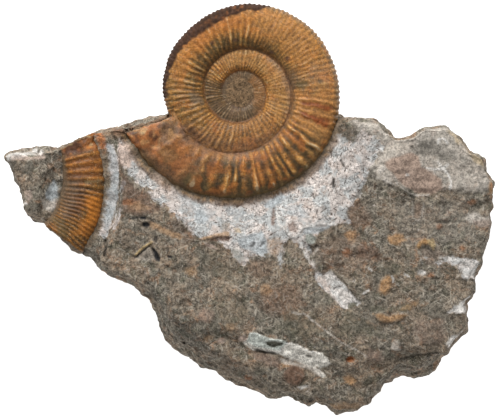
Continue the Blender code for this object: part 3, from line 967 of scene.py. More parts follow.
@dataclass(frozen=True)
class ShellFinish:
    """Orange-brown fossil shell with a satin face and grey where rock clings, its crests painted paler and
    its furrows darker, partly painted highlight and shade.
    """

    name: str
    # The crest, side and furrow tones follow the ribs: partly the shell's own tone, partly painted highlight
    # on the crests and painted shade in the furrows.
    crest: Tone = Tone(214, 162, 92)
    side: Tone = Tone(180, 124, 62)
    furrow: Tone = Tone(108, 78, 42)
    orange: Tone = Tone(190, 112, 48)
    olive: Tone = Tone(128, 104, 56)
    glint: Tone = Tone(238, 216, 176)
    grit: Tone = Tone(118, 95, 70)
    grit_dark: Tone = Tone(44, 35, 27)
    grit_light: Tone = Tone(178, 152, 116)
    blotch: Tone = Tone(84, 62, 38)
    grain: float = 0.4
    relief: float = 0.18
    gloss: float = 0.22

    def shell(self, work: Ground) -> Socket:
        """Colours the bare shell.

        Args:
            work: the material's wiring.

        Returns:
            The colour.
        """
        place = work.place
        uneven = work.times(work.math("SUBTRACT", work.cloud(place, 1.3, 3, 0.5), 0.5), 0.8)
        # Mixes the furrow, side and crest tones by the rib pattern: painted shade in the furrows, painted
        # highlight on the crests.
        ribbed = work.math("ADD", work.kept("rib"), uneven)
        base = work.mix(work.between(ribbed, 0, 0.6), self.furrow, self.side)
        base = work.mix(work.between(ribbed, 0.5, 1.15), base, self.crest)
        base = work.over(base, work.patches(place, 5.5, 3, 0.6, (0.48, 0.68)), 0.5, self.orange)
        dull = work.patches(work.scaled(place, -1.05), 4.2, 3, 0.6, (0.52, 0.7))
        base = work.over(base, dull, 0.5, self.olive)
        blotches = work.patches(work.scaled(place, 1.03), 1.8, 4, 0.9, (0.54, 0.68))
        base = work.over(base, blotches, 0.5, self.blotch)
        along = work.stretched(work.kept("growth", "Vector"), (2.6, 0.45, 5.0))
        base = work.scaled(base, work.spread(work.patches(along, 1, 3, 0.3, (0.3, 0.7)), 0.66, 1.34))
        base = work.scaled(base, work.spread(work.grain["Mottle"], 0.64, 1.34))
        # Pale hairs along the growth lines and pale specks in the glint tone: painted glints, partly pale
        # growth streaks.
        hairs = work.patches(work.scaled(along, 1.3), 1, 2, 0, (0.62, 0.72))
        return work.over(base, work.most(hairs, work.grain["Specks"]), 0.42, self.glint)

    def material(self, effects: Effects) -> Material:
        """Makes the material.

        Args:
            effects: the shared groups.

        Returns:
            The material, with the shared groups placed in it.
        """
        work = Ground(self.name, effects, self.grain)
        stained = work.stained(self.shell(work), 0.6)
        rough = work.math("SUBTRACT", work.cloud(work.place, 1.5, 3), 0.5)
        gritty = work.between(work.math("ADD", work.kept("grit"), rough), 0.35, 0.65)
        grit = work.scaled(self.grit.linear()[:3], work.spread(work.grain["Mottle"], 0.36, 1.6))
        grit = work.over(grit, work.grain["Pits"], 0.85, self.grit_dark)
        grit = work.over(grit, work.grain["Specks"], 0.6, self.grit_light)
        dull = work.times(work.most(gritty, work.kept("dull")), 0.35)
        rough = work.math("ADD", work.spread(work.cloud(work.place, 0.9, 2), 0.34, 0.6), dull)
        return work.ended(work.mix(gritty, stained, grit), rough, self.relief, self.gloss)


def dressed(piece: Piece, name: str, node: str, material: Material) -> Piece:
    """Finishes a piece and puts it in its CAD node's stead.

    Args:
        piece: the piece, in its place.
        name: its name.
        node: the CAD node that it stands for.
        material: its finish.

    Returns:
        The piece.
    """
    piece.name = name
    piece.data.name = name
    piece.data.materials.clear()
    piece.data.materials.append(material)
    pick(piece)
    bpy.ops.object.shade_smooth()
    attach(piece, BODY)
    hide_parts(node)
    return piece


class Part:
    """A piece of the scene, with its name, the CAD node that it stands for and that node's slot."""

    name: str
    node: str
    slot: str
    finish: LimestoneFinish | ShellFinish

    def shape(self) -> Piece:
        """The piece's finished mesh."""
        raise NotImplementedError

    def colour(self, piece: Piece) -> None:
        """Keeps what its material reads at its points."""
        raise NotImplementedError

    def build(self, effects: Effects) -> Piece:
        """Builds the piece and dresses it.

        Args:
            effects: the shared groups.

        Returns:
            The piece, standing for its CAD node.
        """
        piece = self.shape()
        self.colour(piece)
        return dressed(piece, self.name, self.node, self.finish.material(effects))


# The coiled shells

class Spiral:
    """What the two shells share: a spiral about a centre, seen from above.

    Its way is -1 where angles run clockwise from the left, and 1 where they run the other way from
    the right.
    """

    centre: Place
    level: float
    seam_at_start: float
    way: int

    def seam(self, angle: Array) -> Array:
        """Radius of the seam where a whorl meets the one inside it."""
        return self.seam_at_start * 2.0 ** (angle / 360.0)

    def point(self, angle: Array, radius: Array, height: Array) -> Array:
        """A place in the block's frame.

        Args:
            angle: the angle on the spiral.
            radius: the distance from its middle.
            height: the height above the whorl's middle plane.

        Returns:
            The places, in millimetres.
        """
        turned = np.radians(angle)
        x = self.centre[0] + self.way * radius * np.cos(turned)
        y = self.centre[1] + radius * np.sin(turned)
        return np.stack([x, y, self.level + height], axis=1)

    def around(self, places: Array) -> tuple[Array, Array]:
        """Each place's angle on the spiral, from -180 to 180, and its distance from the middle."""
        across, up = places[:, 0] - self.centre[0], places[:, 1] - self.centre[1]
        return np.degrees(np.arctan2(up, self.way * across)), np.hypot(across, up)


@dataclass(frozen=True)
class Coil(Spiral):
    """The spiral that the shell was wound on, with the sizes of its whorls.

    An angle runs clockwise from the left, and goes below 0 for the inner whorls.
    """

    centre: Place = (-3.0, 37.5)
    level: float = 27.0
    first_angle: float = -760.0
    last_angle: float = 340.9
    seam_at_start: float = 11.3
    venter_at_start: float = 24.8
    breadth_at_start: float = 4.9
    angles: tuple[float, ...] = (0, 60, 95, 140, 180, 210, 245, 275, 300, 341)
    venters: tuple[float, ...] = (24.8, 26.4, 28.4, 30.8, 31.9, 32.8, 33.2, 34.2, 36.2, 39.3)
    breadths: tuple[float, ...] = (4.9, 5.1, 5.3, 5.5, 5.6, 5.7, 5.8, 5.8, 5.9, 6.0)
    most_breadth: float = 6.0
    half_width: float = 8.0
    closing: float = 6.0
    way: int = -1

    def venter(self, angle: Array) -> Array:
        """Radius of a whorl's outer edge."""
        inner = self.venter_at_start * 2.0 ** (np.minimum(angle, 0.0) / 360.0)
        return np.where(angle < 0.0, inner, np.interp(angle, self.angles, self.venters))

    def breadth(self, angle: Array) -> Array:
        """Half of a whorl's thickness."""
        inner = self.breadth_at_start * 2.0 ** (np.minimum(angle, 0.0) / 360.0)
        return np.where(angle < 0.0, inner, np.interp(angle, self.angles, self.breadths))

    def unwound(self, places: Array) -> tuple[Array, Array, Array]:
        """Where places lie along the spiral, on the outermost whorl that shows there.

        Args:
            places: points in millimetres.

        Returns:
            Each one's angle, its radius, and its share of the way from the seam to the venter.
        """
        angle, radius = self.around(places)
        angle = angle % 360.0
        for _ in range(4):
            beyond = (angle > self.last_angle + 4.0) | (radius < self.seam(angle) - 0.05)
            angle = np.where(beyond, angle - 360.0, angle)
        seam, venter = self.seam(angle), self.venter(angle)
        return angle, radius, np.clip((radius - seam) / (venter - seam), 0.0, 1.2)

    def past_end(self, angle: Array) -> Array:
        """How far into its rounded last stretch the shell is, from 0 to 1."""
        return np.clip((angle - self.last_angle + self.closing) / self.closing, 0.0, 1.0)

    def underside(self, places: Array) -> Array:
        """Height of the shell's lower face.

        Args:
            places: points in millimetres.

        Returns:
            The height below each of them, in millimetres.
        """
        angle, _, share = self.unwound(places)
        closed = np.sqrt(1.0 - self.past_end(angle) ** 2)
        return self.level - self.breadth(angle) * round_section(2.0 * share - 1.0) * closed

    def outline(self) -> Array:
        """The shell's outer edge seen from above, and its broken end."""
        angle = np.linspace(self.last_angle - 360.0, self.last_angle, 121)
        return self.point(angle, self.venter(angle), np.zeros(len(angle)))[:, :2]


@dataclass(frozen=True)
class RibRow:
    """Where the ribs of the last whorl stand, and how far apart the others are, in degrees."""

    crests: tuple[float, ...] = (
        0, 5, 10.5, 17, 24, 30, 37, 45, 51, 57, 62.5, 68.5, 74, 80, 85.5, 91, 97, 102.5, 107, 111, 114.5,
        118, 121.5, 125, 128.5, 132, 135.5, 139, 142.5, 146, 149.5, 153, 156.5, 160, 163.5, 167, 171, 175,
        179.5, 183.5, 187, 191.5, 196, 200, 205.5, 211, 216, 221.5, 228, 236, 240, 245, 250, 257, 260, 268,
        273, 278, 288, 297, 306, 314, 323, 333, 343,
    )
    inner_pitch: float = 5.6

    def crest(self, angle: Array) -> Array:
        """Where the ribs stand.

        Args:
            angle: angles on the spiral.

        Returns:
            1 on the crest of a rib and 0 between two ribs.
        """
        inner = angle / self.inner_pitch + 0.22 * np.sin(np.radians(angle) * 7.3)
        phase = np.where(angle < 0.0, inner, np.interp(angle, self.crests, np.arange(len(self.crests))))
        uneven = 1.0 - 0.4 * (0.5 + 0.5 * np.sin(2.3 * np.round(phase)))
        return (0.5 + 0.5 * np.cos(2.0 * np.pi * phase)) * uneven


RIB_ANGLES = (-700, -400, -335, -200, -20, 0, 20, 100, 115, 175, 185, 208, 216, 300, 315, 341)


@dataclass(frozen=True)
class RibStrength:
    """How strong the ribs are beside the seam and beside the venter, by their angle."""

    by_seam: tuple[float, ...]
    by_venter: tuple[float, ...]

    def at(self, angle: Array, share: Array) -> Array:
        """The strength at places on the shell.

        Args:
            angle: each one's angle along the coil.
            share: its share of the way from the seam to the venter.

        Returns:
            The strengths.
        """
        outer = ease(0.35, 0.75, share)
        seam, venter = (np.interp(angle, RIB_ANGLES, row) for row in (self.by_seam, self.by_venter))
        return seam * (1.0 - outer) + venter * outer


@dataclass
class MainShell(Part):
    """The whole shell, wound as a tube and then ribbed."""

    name: str = "shell_with_ribs"
    node: str = "ammonite"
    slot: str = "shell"
    coil: Coil = field(default_factory=Coil)
    ribs: RibRow = field(default_factory=RibRow)
    finish: ShellFinish = field(default_factory=lambda: ShellFinish("ribbed_shell"))
    steps_along: int = 560
    steps_round: int = 48
    core_radius: float = 9.0
    core_height: float = 1.6
    voxel: float = 0.3
    left_behind: float = 0.45
    rib_heights: RibStrength = RibStrength(
        (0.14, 0.26, 0.34, 0.26, 0.34, 0.5, 0.55, 0.42, 0.2, 0.2, 0.36, 0.5, 0.6, 0.62, 0.36, 0.24),
        (0.14, 0.26, 0.3, 0.2, 0.34, 0.46, 0.22, 0.2, 0.18, 0.2, 0.46, 0.5, 0.6, 0.64, 0.4, 0.24))
    # How strongly the crests are painted lighter and the furrows darker: painted highlight and shade.
    rib_painted_shading: RibStrength = RibStrength(
        (0.8, 1.1, 0.9, 0.45, 0.7, 0.9, 1.3, 1.1, 0.5, 0.5, 0.6, 1.0, 1.2, 1.1, 0.7, 0.5),
        (0.8, 1.1, 0.8, 0.5, 0.6, 0.9, 0.5, 0.5, 0.6, 0.6, 0.7, 1.0, 1.2, 1.1, 0.7, 0.5))
    sharpness_angles: tuple[float, ...] = (150, 215, 300, 341)
    sharpness: tuple[float, ...] = (1.2, 2.4, 2.2, 1.4)
    crenulation: float = 0.15
    crenulation_pitch: float = 3.1
    bed_from: float = 206.0
    broken_from: float = 308.0
    core_edge: float = 4.4
    band_angles: tuple[float, ...] = (-8, -2, 12, 30, 45, 54, 66, 78, 93, 104, 113)
    band_widths: tuple[float, ...] = (-1, 1.5, 1.7, 2.3, 3.2, 3.8, 4.1, 3.9, 2.9, 1.7, -1)
    bands: tuple[Band, ...] = (
        Band(Stain.AMBER, 0.45, (5, 100), (0.42, 0.8)), Band(Stain.EMBER, 0.4, (50, 95), (0.5, 0.75)),
        # The olive, bark and moss rows by the seam from 15 to 177 degrees are partly the shell's own olive
        # and partly painted shade where the whorl slopes down to the seam.
        Band(Stain.OLIVE, 0.45, (15, 80), (0, 0.34)), Band(Stain.OLIVE, 0.6, (78, 134), (0, 0.26)),
        Band(Stain.OCHRE, 0.5, (104, 152), (0.3, 0.92)), Band(Stain.FLAME, 0.2, (88, 170), (0.25, 0.95)),
        Band(Stain.OLIVE, 0.55, (134, 158), (0, 0.24)), Band(Stain.BARK, 0.45, (158, 177), (-0.1, 0.3)),
        Band(Stain.MOSS, 0.35, (160, 176), (-0.1, 0.34)),
        Band(Stain.GREEN_GREY, 0.14, (158, 178), (0.42, 0.9)),
        Band(Stain.AMBER, 0.55, (180, 208), (0.08, 1)), Band(Stain.HONEY, 0.25, (178, 210), (0.08, 1)),
        Band(Stain.REDWOOD, 0.85, (188.5, 192.5), (0.22, 0.85), (1.4, 0.08)),
        Band(Stain.REDWOOD, 0.9, (197.5, 202), (0.25, 0.9), (1.4, 0.08)),
        Band(Stain.GREY_BROWN, 0.35, (150, 400), (0, 0.1), (7, 0.05)),
        Band(Stain.OCHRE, 0.5, (204, 222), (0.6, 1)), Band(Stain.RUST, 0.35, (212, 262), (0.1, 0.34)),
        Band(Stain.CLAY, 0.3, (262, 335), (0, 0.2)), Band(Stain.EMBER, 0.4, (245, 262), (0.25, 0.85)),
        Band(Stain.OLIVE, 0.85, (222, 306), (0.86, 1.3), (5, 0.07)),
        Band(Stain.OLIVE, 0.7, (284, 303), (0.7, 1)), Band(Stain.OLIVE, 0.45, (308, 330), (0.75, 1.1)),
        Band(Stain.UMBER, 0.6, (292, 336), (0, 1.1)), Band(Stain.EMBER, 0.45, (303, 330), (0.25, 0.75)),
        Band(Stain.OLIVE, 0.3, (-40, 14), (0.1, 1)), Band(Stain.UMBER, 0.25, (-140, -45), (0, 0.8)),
        Band(Stain.UMBER, 0.45, (-130, -30), (0.6, 1.1)), Band(Stain.OCHRE, 0.4, (-300, -150), (0.2, 0.9)),
        Band(Stain.CLAY, 0.35, (-235, -150), (0.7, 1.1)),
        Band(Stain.OLIVE, 0.6, (-900, -332), (-0.5, 1.5), (14, 0.1)),
        Band(Stain.BARK, 0.3, (-900, -336), (-0.5, 1.5), (14, 0.1)),
        Band(Stain.GREY_BROWN, 0.45, (-900, -385), (-0.5, 1.5), (22, 0.1)),
        Band(Stain.AMBER, 0.4, (-590, -500), (0.1, 0.9), (14, 0.1)),
    )
    marks: tuple[Mark, ...] = (
        Spot(Stain.OLIVE, 0.6, 1.2, 0.8, (16.7, 39.8), (1.9, 1.3), 20),
        Patch(Stain.GREY_BROWN, 0.7, 1.6, 1, (-19, 37.2, -15, 36.6, -15, 33.4, -18.8, 33.8)),
        Spot(Stain.BARK, 0.8, 0.7, 0.4, (-4.3, 54), (0.9, 0.6)),
        Spot(Stain.BARK, 0.8, 0.7, 0.4, (12, 48.1), (0.9, 0.7)),
        Spot(Stain.BARK, 0.8, 0.7, 0.4, (7.1, 50.3), (0.8, 0.6)),
        Spot(Stain.BARK, 0.8, 0.7, 0.4, (-11.8, 53.2), (0.8, 0.7)),
        Patch(Stain.OLIVE, 0.75, 2.2, 1, (-21.6, 10.5, -18, 12, -14.5, 10.5, -13.5, 5, -17, 4.5, -21.5,
            7.5)),
        Patch(Stain.RUST, 0.75, 1.4, 0.8, (-40.2, 24.8, -35.8, 24.2, -33.3, 26.6, -28.4, 28.2, -28.2, 23.7,
            -30.2, 21.2, -33.3, 19, -36.8, 19.5)),
        Spot(Stain.SAND, 0.7, 0.9, 0.5, (-34, 24.7), (1.3, 0.8), 30),
        Spot(Stain.SOOT, 0.7, 0.8, 0.4, (-36.4, 24.3), (1.2, 0.6), 10),
        Spot(Stain.BARK, 0.7, 0.8, 0.4, (-30.2, 22.6), (0.7, 1.4), -20),
        Patch(Stain.GREY_BROWN, 0.5, 2.4, 1.2, (-28.4, 28.5, -24.5, 29, -22.4, 25.4, -23.6, 23.2, -25.5, 21,
            -27.7, 20.8, -28.6, 23.7)),
        Patch(Stain.BARK, 0.5, 1.6, 1, (-21.5, 26.5, -17, 25, -15.6, 22, -18.5, 21.4, -21.5, 23.4)),
        Patch(Stain.AMBER, 0.25, 2, 0.8, (-23.5, 21.5, -6, 18, -6, 16, -15, 16.5, -24, 19)),
        Patch(Stain.OLIVE, 0.45, 2, 1, (-29, 19.9, -23.5, 19.9, -22.6, 16, -27.5, 15)),
    )

    def tube(self) -> Piece:
        """Winds the plain tube of the shell on its spiral.

        Returns:
            The tube, closed at both ends.
        """
        bpy.ops.object.select_all(action="DESELECT")
        steps = {"x_subdivisions": self.steps_along, "y_subdivisions": self.steps_round}
        bpy.ops.mesh.primitive_grid_add(size=1.0, **steps)
        piece, coil = bpy.context.object, self.coil
        flat = places_of(piece) * MM + 0.5
        angle = coil.first_angle + (coil.last_angle - coil.first_angle) * flat[:, 0]
        reach, side = section_ring(2.0 * np.pi * flat[:, 1])
        seam, venter = coil.seam(angle), coil.venter(angle)
        before = np.clip((coil.first_angle + coil.closing - angle) / coil.closing, 0.0, 1.0)
        open_share = np.sqrt((1.0 - coil.past_end(angle) ** 2) * (1.0 - before**2))
        height = coil.breadth(angle) * side * open_share
        set_places(piece, coil.point(angle, seam + (venter - seam) * 0.5 * (1.0 - reach), height))
        merge_doubles(piece, SAME_PLACE, outwards=True)
        return piece

    def core(self) -> Piece:
        """Makes the plug of rock that fills the middle of the coil.

        Returns:
            The plug.
        """
        bpy.ops.object.select_all(action="DESELECT")
        bpy.ops.mesh.primitive_uv_sphere_add(segments=40, ring_count=20, radius=1.0)
        piece = bpy.context.object
        size = np.array([self.core_radius, self.core_radius, self.core_height])
        set_places(piece, places_of(piece) * MM * size + np.array([*self.coil.centre, self.coil.level]))
        return piece

    def rib_relief(self, angle: Array, share: Array) -> Array:
        """How far the ribs reach across a whorl.

        Args:
            angle: each place's angle along the coil.
            share: its share of the way from the seam to the venter.

        Returns:
            The relief, from 0 at the seam to 1 on the whorl's side.
        """
        across = ease(0.02, 0.14, share) * (1 - 0.55 * ease(0.8, 1, share))
        in_bed = ease(self.bed_from - 4, self.bed_from + 4, angle)
        across *= 1 - 0.6 * ease(0.8, 0.95, share) * in_bed
        banded = np.interp(angle, self.band_angles, self.band_widths) > 0.0
        return across * np.where(banded, 1 - 0.65 * ease(0.68, 0.82, share), 1)

    def crest_at(self, places: Array, angle: Array, share: Array) -> Array:
        """1 on the crests of the ribs, which lean a little forwards towards the venter.

        Args:
            places: points in millimetres.
            angle: each one's angle along the coil.
            share: its share of the way from the seam to the venter.

        Returns:
            The crests, from 0 to 1.
        """
        leaning = angle - 1.6 * (share - 0.4) + 1.2 * share**3 + 1.1 * wander(places, 3, 8)
        return np.clip(self.ribs.crest(leaning) * (0.85 + 0.5 * wander(places, 2, 9)), 0, 1)

    def shape(self) -> Piece:
        """Shapes the shell.

        Returns:
            The whole shell as one closed skin, with its ribs raised on it.
        """
        piece = self.tube()
        pick(piece, self.core())
        bpy.ops.object.join()
        places, facings = skinned(piece, self.voxel, 3)
        angle, radius, share = self.coil.unwound(places)
        gritty = ease(self.core_edge + 0.8, self.core_edge - 0.8, radius)
        ribs = self.rib_heights.at(angle, share) * self.rib_relief(angle, share)
        crest = self.crest_at(places, angle, share) ** np.interp(angle, self.sharpness_angles, self.sharpness)
        lift = ribs * (crest - 0.5) * (1.0 - gritty)
        crenulated = np.cos(2 * np.pi * angle / self.crenulation_pitch) * ease(0.84, 0.97, share)
        free = ease(self.bed_from + 4, self.bed_from - 2, angle) * ease(-30, 0, angle)
        lift += self.crenulation * crenulated * free
        lift += swells(places, (0.06, 0.8, 1), (0.1, 2, 2), (0.14, 5, 3))
        granular = gritty + 0.35 * ease(-330, -380, angle)
        lift += granular * swells(places, (0.14, 0.8, 4), (0.14, 1.7, 5))
        broken = ease(self.broken_from, self.broken_from + 22, angle)
        lift += broken * swells(places, (0.4, 1.7, 6), (0.5, 4, 7), (0.14, 0.9, 15))
        set_places(piece, places + facings * lift[:, None])
        thin_out(piece, facings[:, 2] < -0.2, self.left_behind)
        return piece

    def shade_ribs(self, paint: Paint, angle: Array, share: Array, crest: Array, rough: Array) -> None:
        """Paints shade into the furrows and a highlight along the crests, with orange blotches.

        Args:
            paint: the shell's stains.
            angle: each place's angle along the coil.
            share: its share of the way from the seam to the venter.
            crest: 1 on the crests of the ribs and 0 between them.
            rough: noise of -1 to 1 that frays the edges.
        """
        places, furrow = paint.places, 1.0 - crest
        ribbed = ease(self.bed_from, self.bed_from + 11, angle) * ease(304, 294, angle)
        ribbed = ribbed * ease(0.14, 0.3, share) * ease(1, 0.86, share)
        patchy = ease(-0.6, 0.3, wander(places, 3.4, 14) + 0.4 * rough)
        blotchy = ease(0, 0.45, wander(places, 2.4, 19) + 0.3 * rough)
        speckled = ease(0.1, 0.5, wander(places, 1.3, 20))
        # Bedded stretch: painted shade in the furrows, orange blotches, and a painted highlight along the
        # crests.
        paint.lay(Stain.FERN, 0.88 * ribbed * furrow**1.5 * (0.45 + 0.55 * patchy))
        paint.lay(Stain.EMBER, 0.5 * ribbed * blotchy)
        paint.lay(Stain.SOOT, 0.45 * ribbed * speckled * furrow)
        paint.lay(Stain.SHEEN, 0.68 * ribbed * ease(0.84, 1, crest) * (0.3 + 0.7 * patchy))
        free = ease(self.bed_from, self.bed_from - 10, angle) * ease(0.05, 0.2, share)
        free = free * ease(-340, -320, angle)
        # Free stretch: painted shade in the furrows and a painted highlight along the crests.
        paint.lay(Stain.SOOT, 0.34 * free * speckled * furrow**1.3)
        paint.lay(Stain.SHEEN, 0.26 * free * ease(0.78, 0.97, crest) * (1 - blotchy))
        # By the seam at the top: painted shade in the furrows.
        dark_gaps = ease(8, 24, angle) * ease(134, 118, angle) * ease(0.5, 0.26, share)
        paint.lay(Stain.FERN, 0.6 * dark_gaps * furrow**1.5 * ease(-0.4, 0.4, rough))
        # Inner whorls: painted shade in the furrows and a painted highlight on the crests.
        inner = ease(-330, -345, angle)
        paint.lay(Stain.SOOT, 0.4 * inner * furrow**1.5)
        paint.lay(Stain.SHEEN, 0.4 * inner * ease(0.6, 0.95, crest) * ease(-0.5, 0.4, rough))

    def colour(self, piece: Piece) -> None:
        """Keeps the shell's stains, its painted highlight and shade, and the pattern of its ribs at its
        points.

        Args:
            piece: the shell.
        """
        places, facings = places_of(piece), facings_of(piece)
        angle, radius, share = self.coil.unwound(places)
        inwards = self.coil.venter(angle) - radius
        crest = self.crest_at(places, angle, share)
        paint = Paint(places)
        rough = swells(places, (0.7, 2.2, 11), (0.5, 0.9, 12))
        for band in self.bands:
            paint.lay(band.stain, band.share_at(angle, share, rough))
        paint.lay(Stain.OLIVE, 0.5 * ease(2.2, 0.2, inwards + rough) * (angle > 100))
        seam_shade = 0.7 * ease(0.12, 0, share + 0.03 * rough) * ease(330, 290, angle)
        seam_shade += 0.3 * ease(1, 0, inwards + rough) * (angle < 0)
        paint.lay(Stain.BARK, seam_shade)
        paint.mark(self.marks, ease(-0.2, 0.1, facings[:, 2]))
        self.shade_ribs(paint, angle, share, crest, rough)
        torn = ease(self.broken_from + 4, self.broken_from + 26, angle)
        paint.lay(Stain.BARK, 0.6 * torn * ease(0.15, 0.5, wander(places, 2.4, 16) + 0.3 * rough))
        paint.lay(Stain.HONEY, 0.6 * torn * ease(0.3, 0.6, wander(places, 1.8, 17) + 0.2 * rough))
        width = np.interp(angle, self.band_angles, self.band_widths)
        band_share = ease(0.5, -0.5, inwards - width + rough)
        paint.lay(Stain.BAND, 0.94 * band_share)
        rusty = ease(0.2, 0.6, wander(places, 1.2, 13)) * ease(40, 90, angle)
        paint.lay(Stain.RUST, 0.4 * band_share * rusty)
        paint.lay(Stain.BARK, 0.5 * band_share * ease(0, 0.5, wander(places, 0.9, 24)))
        keep(piece, "stain", paint.colours, Kept.COLOUR)
        # The rib attribute sets how much lighter the crests and darker the furrows are painted: painted
        # highlight and shade.
        contrast = self.rib_painted_shading.at(angle, share) * ease(0, 0.12, share)
        keep(piece, "rib", 0.5 + (crest - 0.5) * contrast)
        filled = ease(self.core_edge + 0.9, self.core_edge - 0.9, radius + 0.8 * rough)
        end = ease(339.4, 340.6, angle + 0.4 * rough) * ease(0.7, 0.4, facings[:, 2])
        keep(piece, "grit", np.maximum(filled, end))
        keep(piece, "dull", band_share)
        growth = np.stack([np.radians(angle) * radius, radius, np.floor(angle / 360.0)], axis=1)
        keep(piece, "growth", growth, Kept.PLACE)


@dataclass
class SecondWhorl(Spiral, Part):
    """The ribbed length of a second shell that lies across the block's left end."""

    name: str = "second_whorl_with_ribs"
    node: str = "second_whorl"
    slot: str = "second_shell"
    centre: Place = (-83.0, 8.4)
    level: float = 26.5
    first_angle: float = -37.0
    last_angle: float = 26.0
    seam_at_start: float = 23.0
    venter: float = 37.0
    breadth: float = 5.8
    most_breadth: float = 5.8
    half_width: float = 7.0
    way: int = 1
    cuts: int = 47
    voxel: float = 0.3
    rib_height: float = 0.48
    broken_from: float = 17.0
    broken_drop: float = 1.8
    finish: ShellFinish = field(default_factory=lambda: ShellFinish(
        "second_ribbed_shell", crest=Tone(166, 114, 56), side=Tone(126, 84, 40), furrow=Tone(84, 60, 36),
        orange=Tone(160, 98, 40), olive=Tone(98, 78, 42), blotch=Tone(78, 54, 34)))
    crests: tuple[float, ...] = (
        -38, -35.6, -33.2, -30.8, -28.4, -26, -23.6, -21.1, -18.6, -16, -13.4, -10.8, -8.1, -5.2, -1.8, 2.6,
        7.2, 12.1, 16.4, 20.4, 24.4, 28.4,
    )
    marks: tuple[Mark, ...] = (
        Patch(Stain.BARK, 0.5, 2.4, 1.8, (-59.7, 11.6, -54, 11.8, -52.6, 4, -53.5, -2.5, -59, -2)),
        Patch(Stain.GREY_BROWN, 0.4, 2.4, 1.8, (-60.5, 9.6, -55, 8.8, -55.6, 2, -57.5, -2.5, -60.5, -2)),
        Patch(Stain.FLAME, 0.75, 2, 1, (-52.3, 4.2, -47.4, 4.2, -47.6, -5, -51.5, -4.5)),
        Patch(Stain.FLAME, 0.4, 2.4, 1.4, (-54, -3, -49, -4, -50, -9, -55.5, -8)),
        Patch(Stain.EMBER, 0.25, 2, 1, (-59, 17, -47.5, 18, -47, 10, -58, 11)),
        Patch(Stain.SAND, 0.4, 0.7, 0.3, (-52.5, 9.1, -47.3, 9.6, -47.3, 8.8, -52.5, 8.3)),
        Patch(Stain.OLIVE, 0.6, 1.6, 0.9, (-63.2, -2.2, -59.5, -3.5, -58, -9, -60.5, -9.8)),
        Patch(Stain.BARK, 0.85, 1.6, 1.2, (-60.3, 20.9, -57, 21, -52.5, 19, -53.5, 17.6, -60, 17)),
        Patch(Stain.EMBER, 0.4, 1.8, 1.4, (-60.3, 20.2, -47.8, 24.7, -46.6, 21.5, -47.5, 19, -60, 18)),
    )

    def at_share(self, angle: Array, share: Array, side: Array) -> Array:
        """The place at an angle, a share of the way from the seam to the venter, and a height."""
        seam = self.seam(angle)
        return self.point(angle, seam + (self.venter - seam) * share, side)

    def unwound(self, places: Array) -> tuple[Array, Array, Array]:
        """Where places lie along the whorl.

        Args:
            places: points in millimetres.

        Returns:
            Each one's angle, its radius, and its share of the way from the seam to the venter.
        """
        angle, radius = self.around(places)
        seam = self.seam(angle)
        return angle, radius, np.clip((radius - seam) / (self.venter - seam), 0.0, 1.1)

    def underside(self, places: Array) -> Array:
        """Height of the whorl's lower face below each place, in millimetres."""
        return self.level - self.breadth * round_section(2.0 * self.unwound(places)[2] - 1.0)

    def outline(self) -> Array:
        """Draws the whorl's edge.

        Returns:
            The corners of its two long edges and its two ends, seen from above.
        """
        angle = np.arange(self.first_angle, self.last_angle + 1.0, 1.0)
        flat = np.zeros(len(angle))
        outer = self.at_share(angle, flat + 1.0, flat)[:, :2]
        return np.concatenate([outer, self.at_share(angle, flat, flat)[::-1, :2]])

    def crest_at(self, angle: Array, share: Array) -> Array:
        """1 on the crests of the ribs, which lean a little forwards towards the venter."""
        leaning = angle + 1.5 * (share - 0.5) + 0.5 * np.sin(9 * share) * ease(4, -10, angle)
        return 0.5 + 0.5 * np.cos(2.0 * np.pi * np.interp(leaning, self.crests, np.arange(len(self.crests))))

    def bar(self) -> Piece:
        """Bends a finely divided bar to the whorl's arc.

        Returns:
            The plain length of whorl.
        """
        bpy.ops.object.select_all(action="DESELECT")
        bpy.ops.mesh.primitive_cube_add(size=1.0)
        piece = bpy.context.object
        pick(piece)
        bpy.ops.object.mode_set(mode="EDIT")
        bpy.ops.mesh.select_all(action="SELECT")
        bpy.ops.mesh.subdivide(number_cuts=self.cuts)
        bpy.ops.object.mode_set(mode="OBJECT")
        bar = places_of(piece) * MM
        reach, side = section_ring(np.arctan2(bar[:, 1], bar[:, 0]))
        out = 2.0 * np.abs(bar[:, :2]).max(axis=1)
        angle = self.first_angle + (self.last_angle - self.first_angle) * (bar[:, 2] + 0.5)
        set_places(piece, self.at_share(angle, 0.5 * (1.0 + out * reach), self.breadth * (out * side)))
        merge_doubles(piece, 0.5 * SAME_PLACE, outwards=True)
        return piece

    def shape(self) -> Piece:
        """Shapes the length of whorl.

        Returns:
            The whorl as one closed skin, with its ribs raised on it.
        """
        piece = self.bar()
        places, facings = skinned(piece, self.voxel, 3)
        angle, _, share = self.unwound(places)
        broken = ease(self.broken_from, self.broken_from + 5, angle + 2 * wander(places, 3, 21))
        across = ease(0.02, 0.18, share) * (1 - 0.7 * ease(0.8, 1, share)) * (1 - broken)
        uneven = 0.75 + 0.35 * wander(places, 3.5, 30)
        lift = self.rib_height * across * uneven * (self.crest_at(angle, share) ** 1.2 - 0.55)
        lift += swells(places, (0.05, 0.8, 22), (0.12, 2.6, 23))
        lift += broken * swells(places, (0.35, 1.6, 24), (0.4, 3.2, 25))
        lift += self.at_ends(angle, facings) * swells(places, (0.3, 1.4, 55), (0.4, 3.4, 56))
        places = places + facings * lift[:, None]
        raised = ease(self.level, self.level + 0.8 * self.breadth, places[:, 2])
        places[:, 2] -= self.broken_drop * broken * raised
        set_places(piece, places)
        return piece

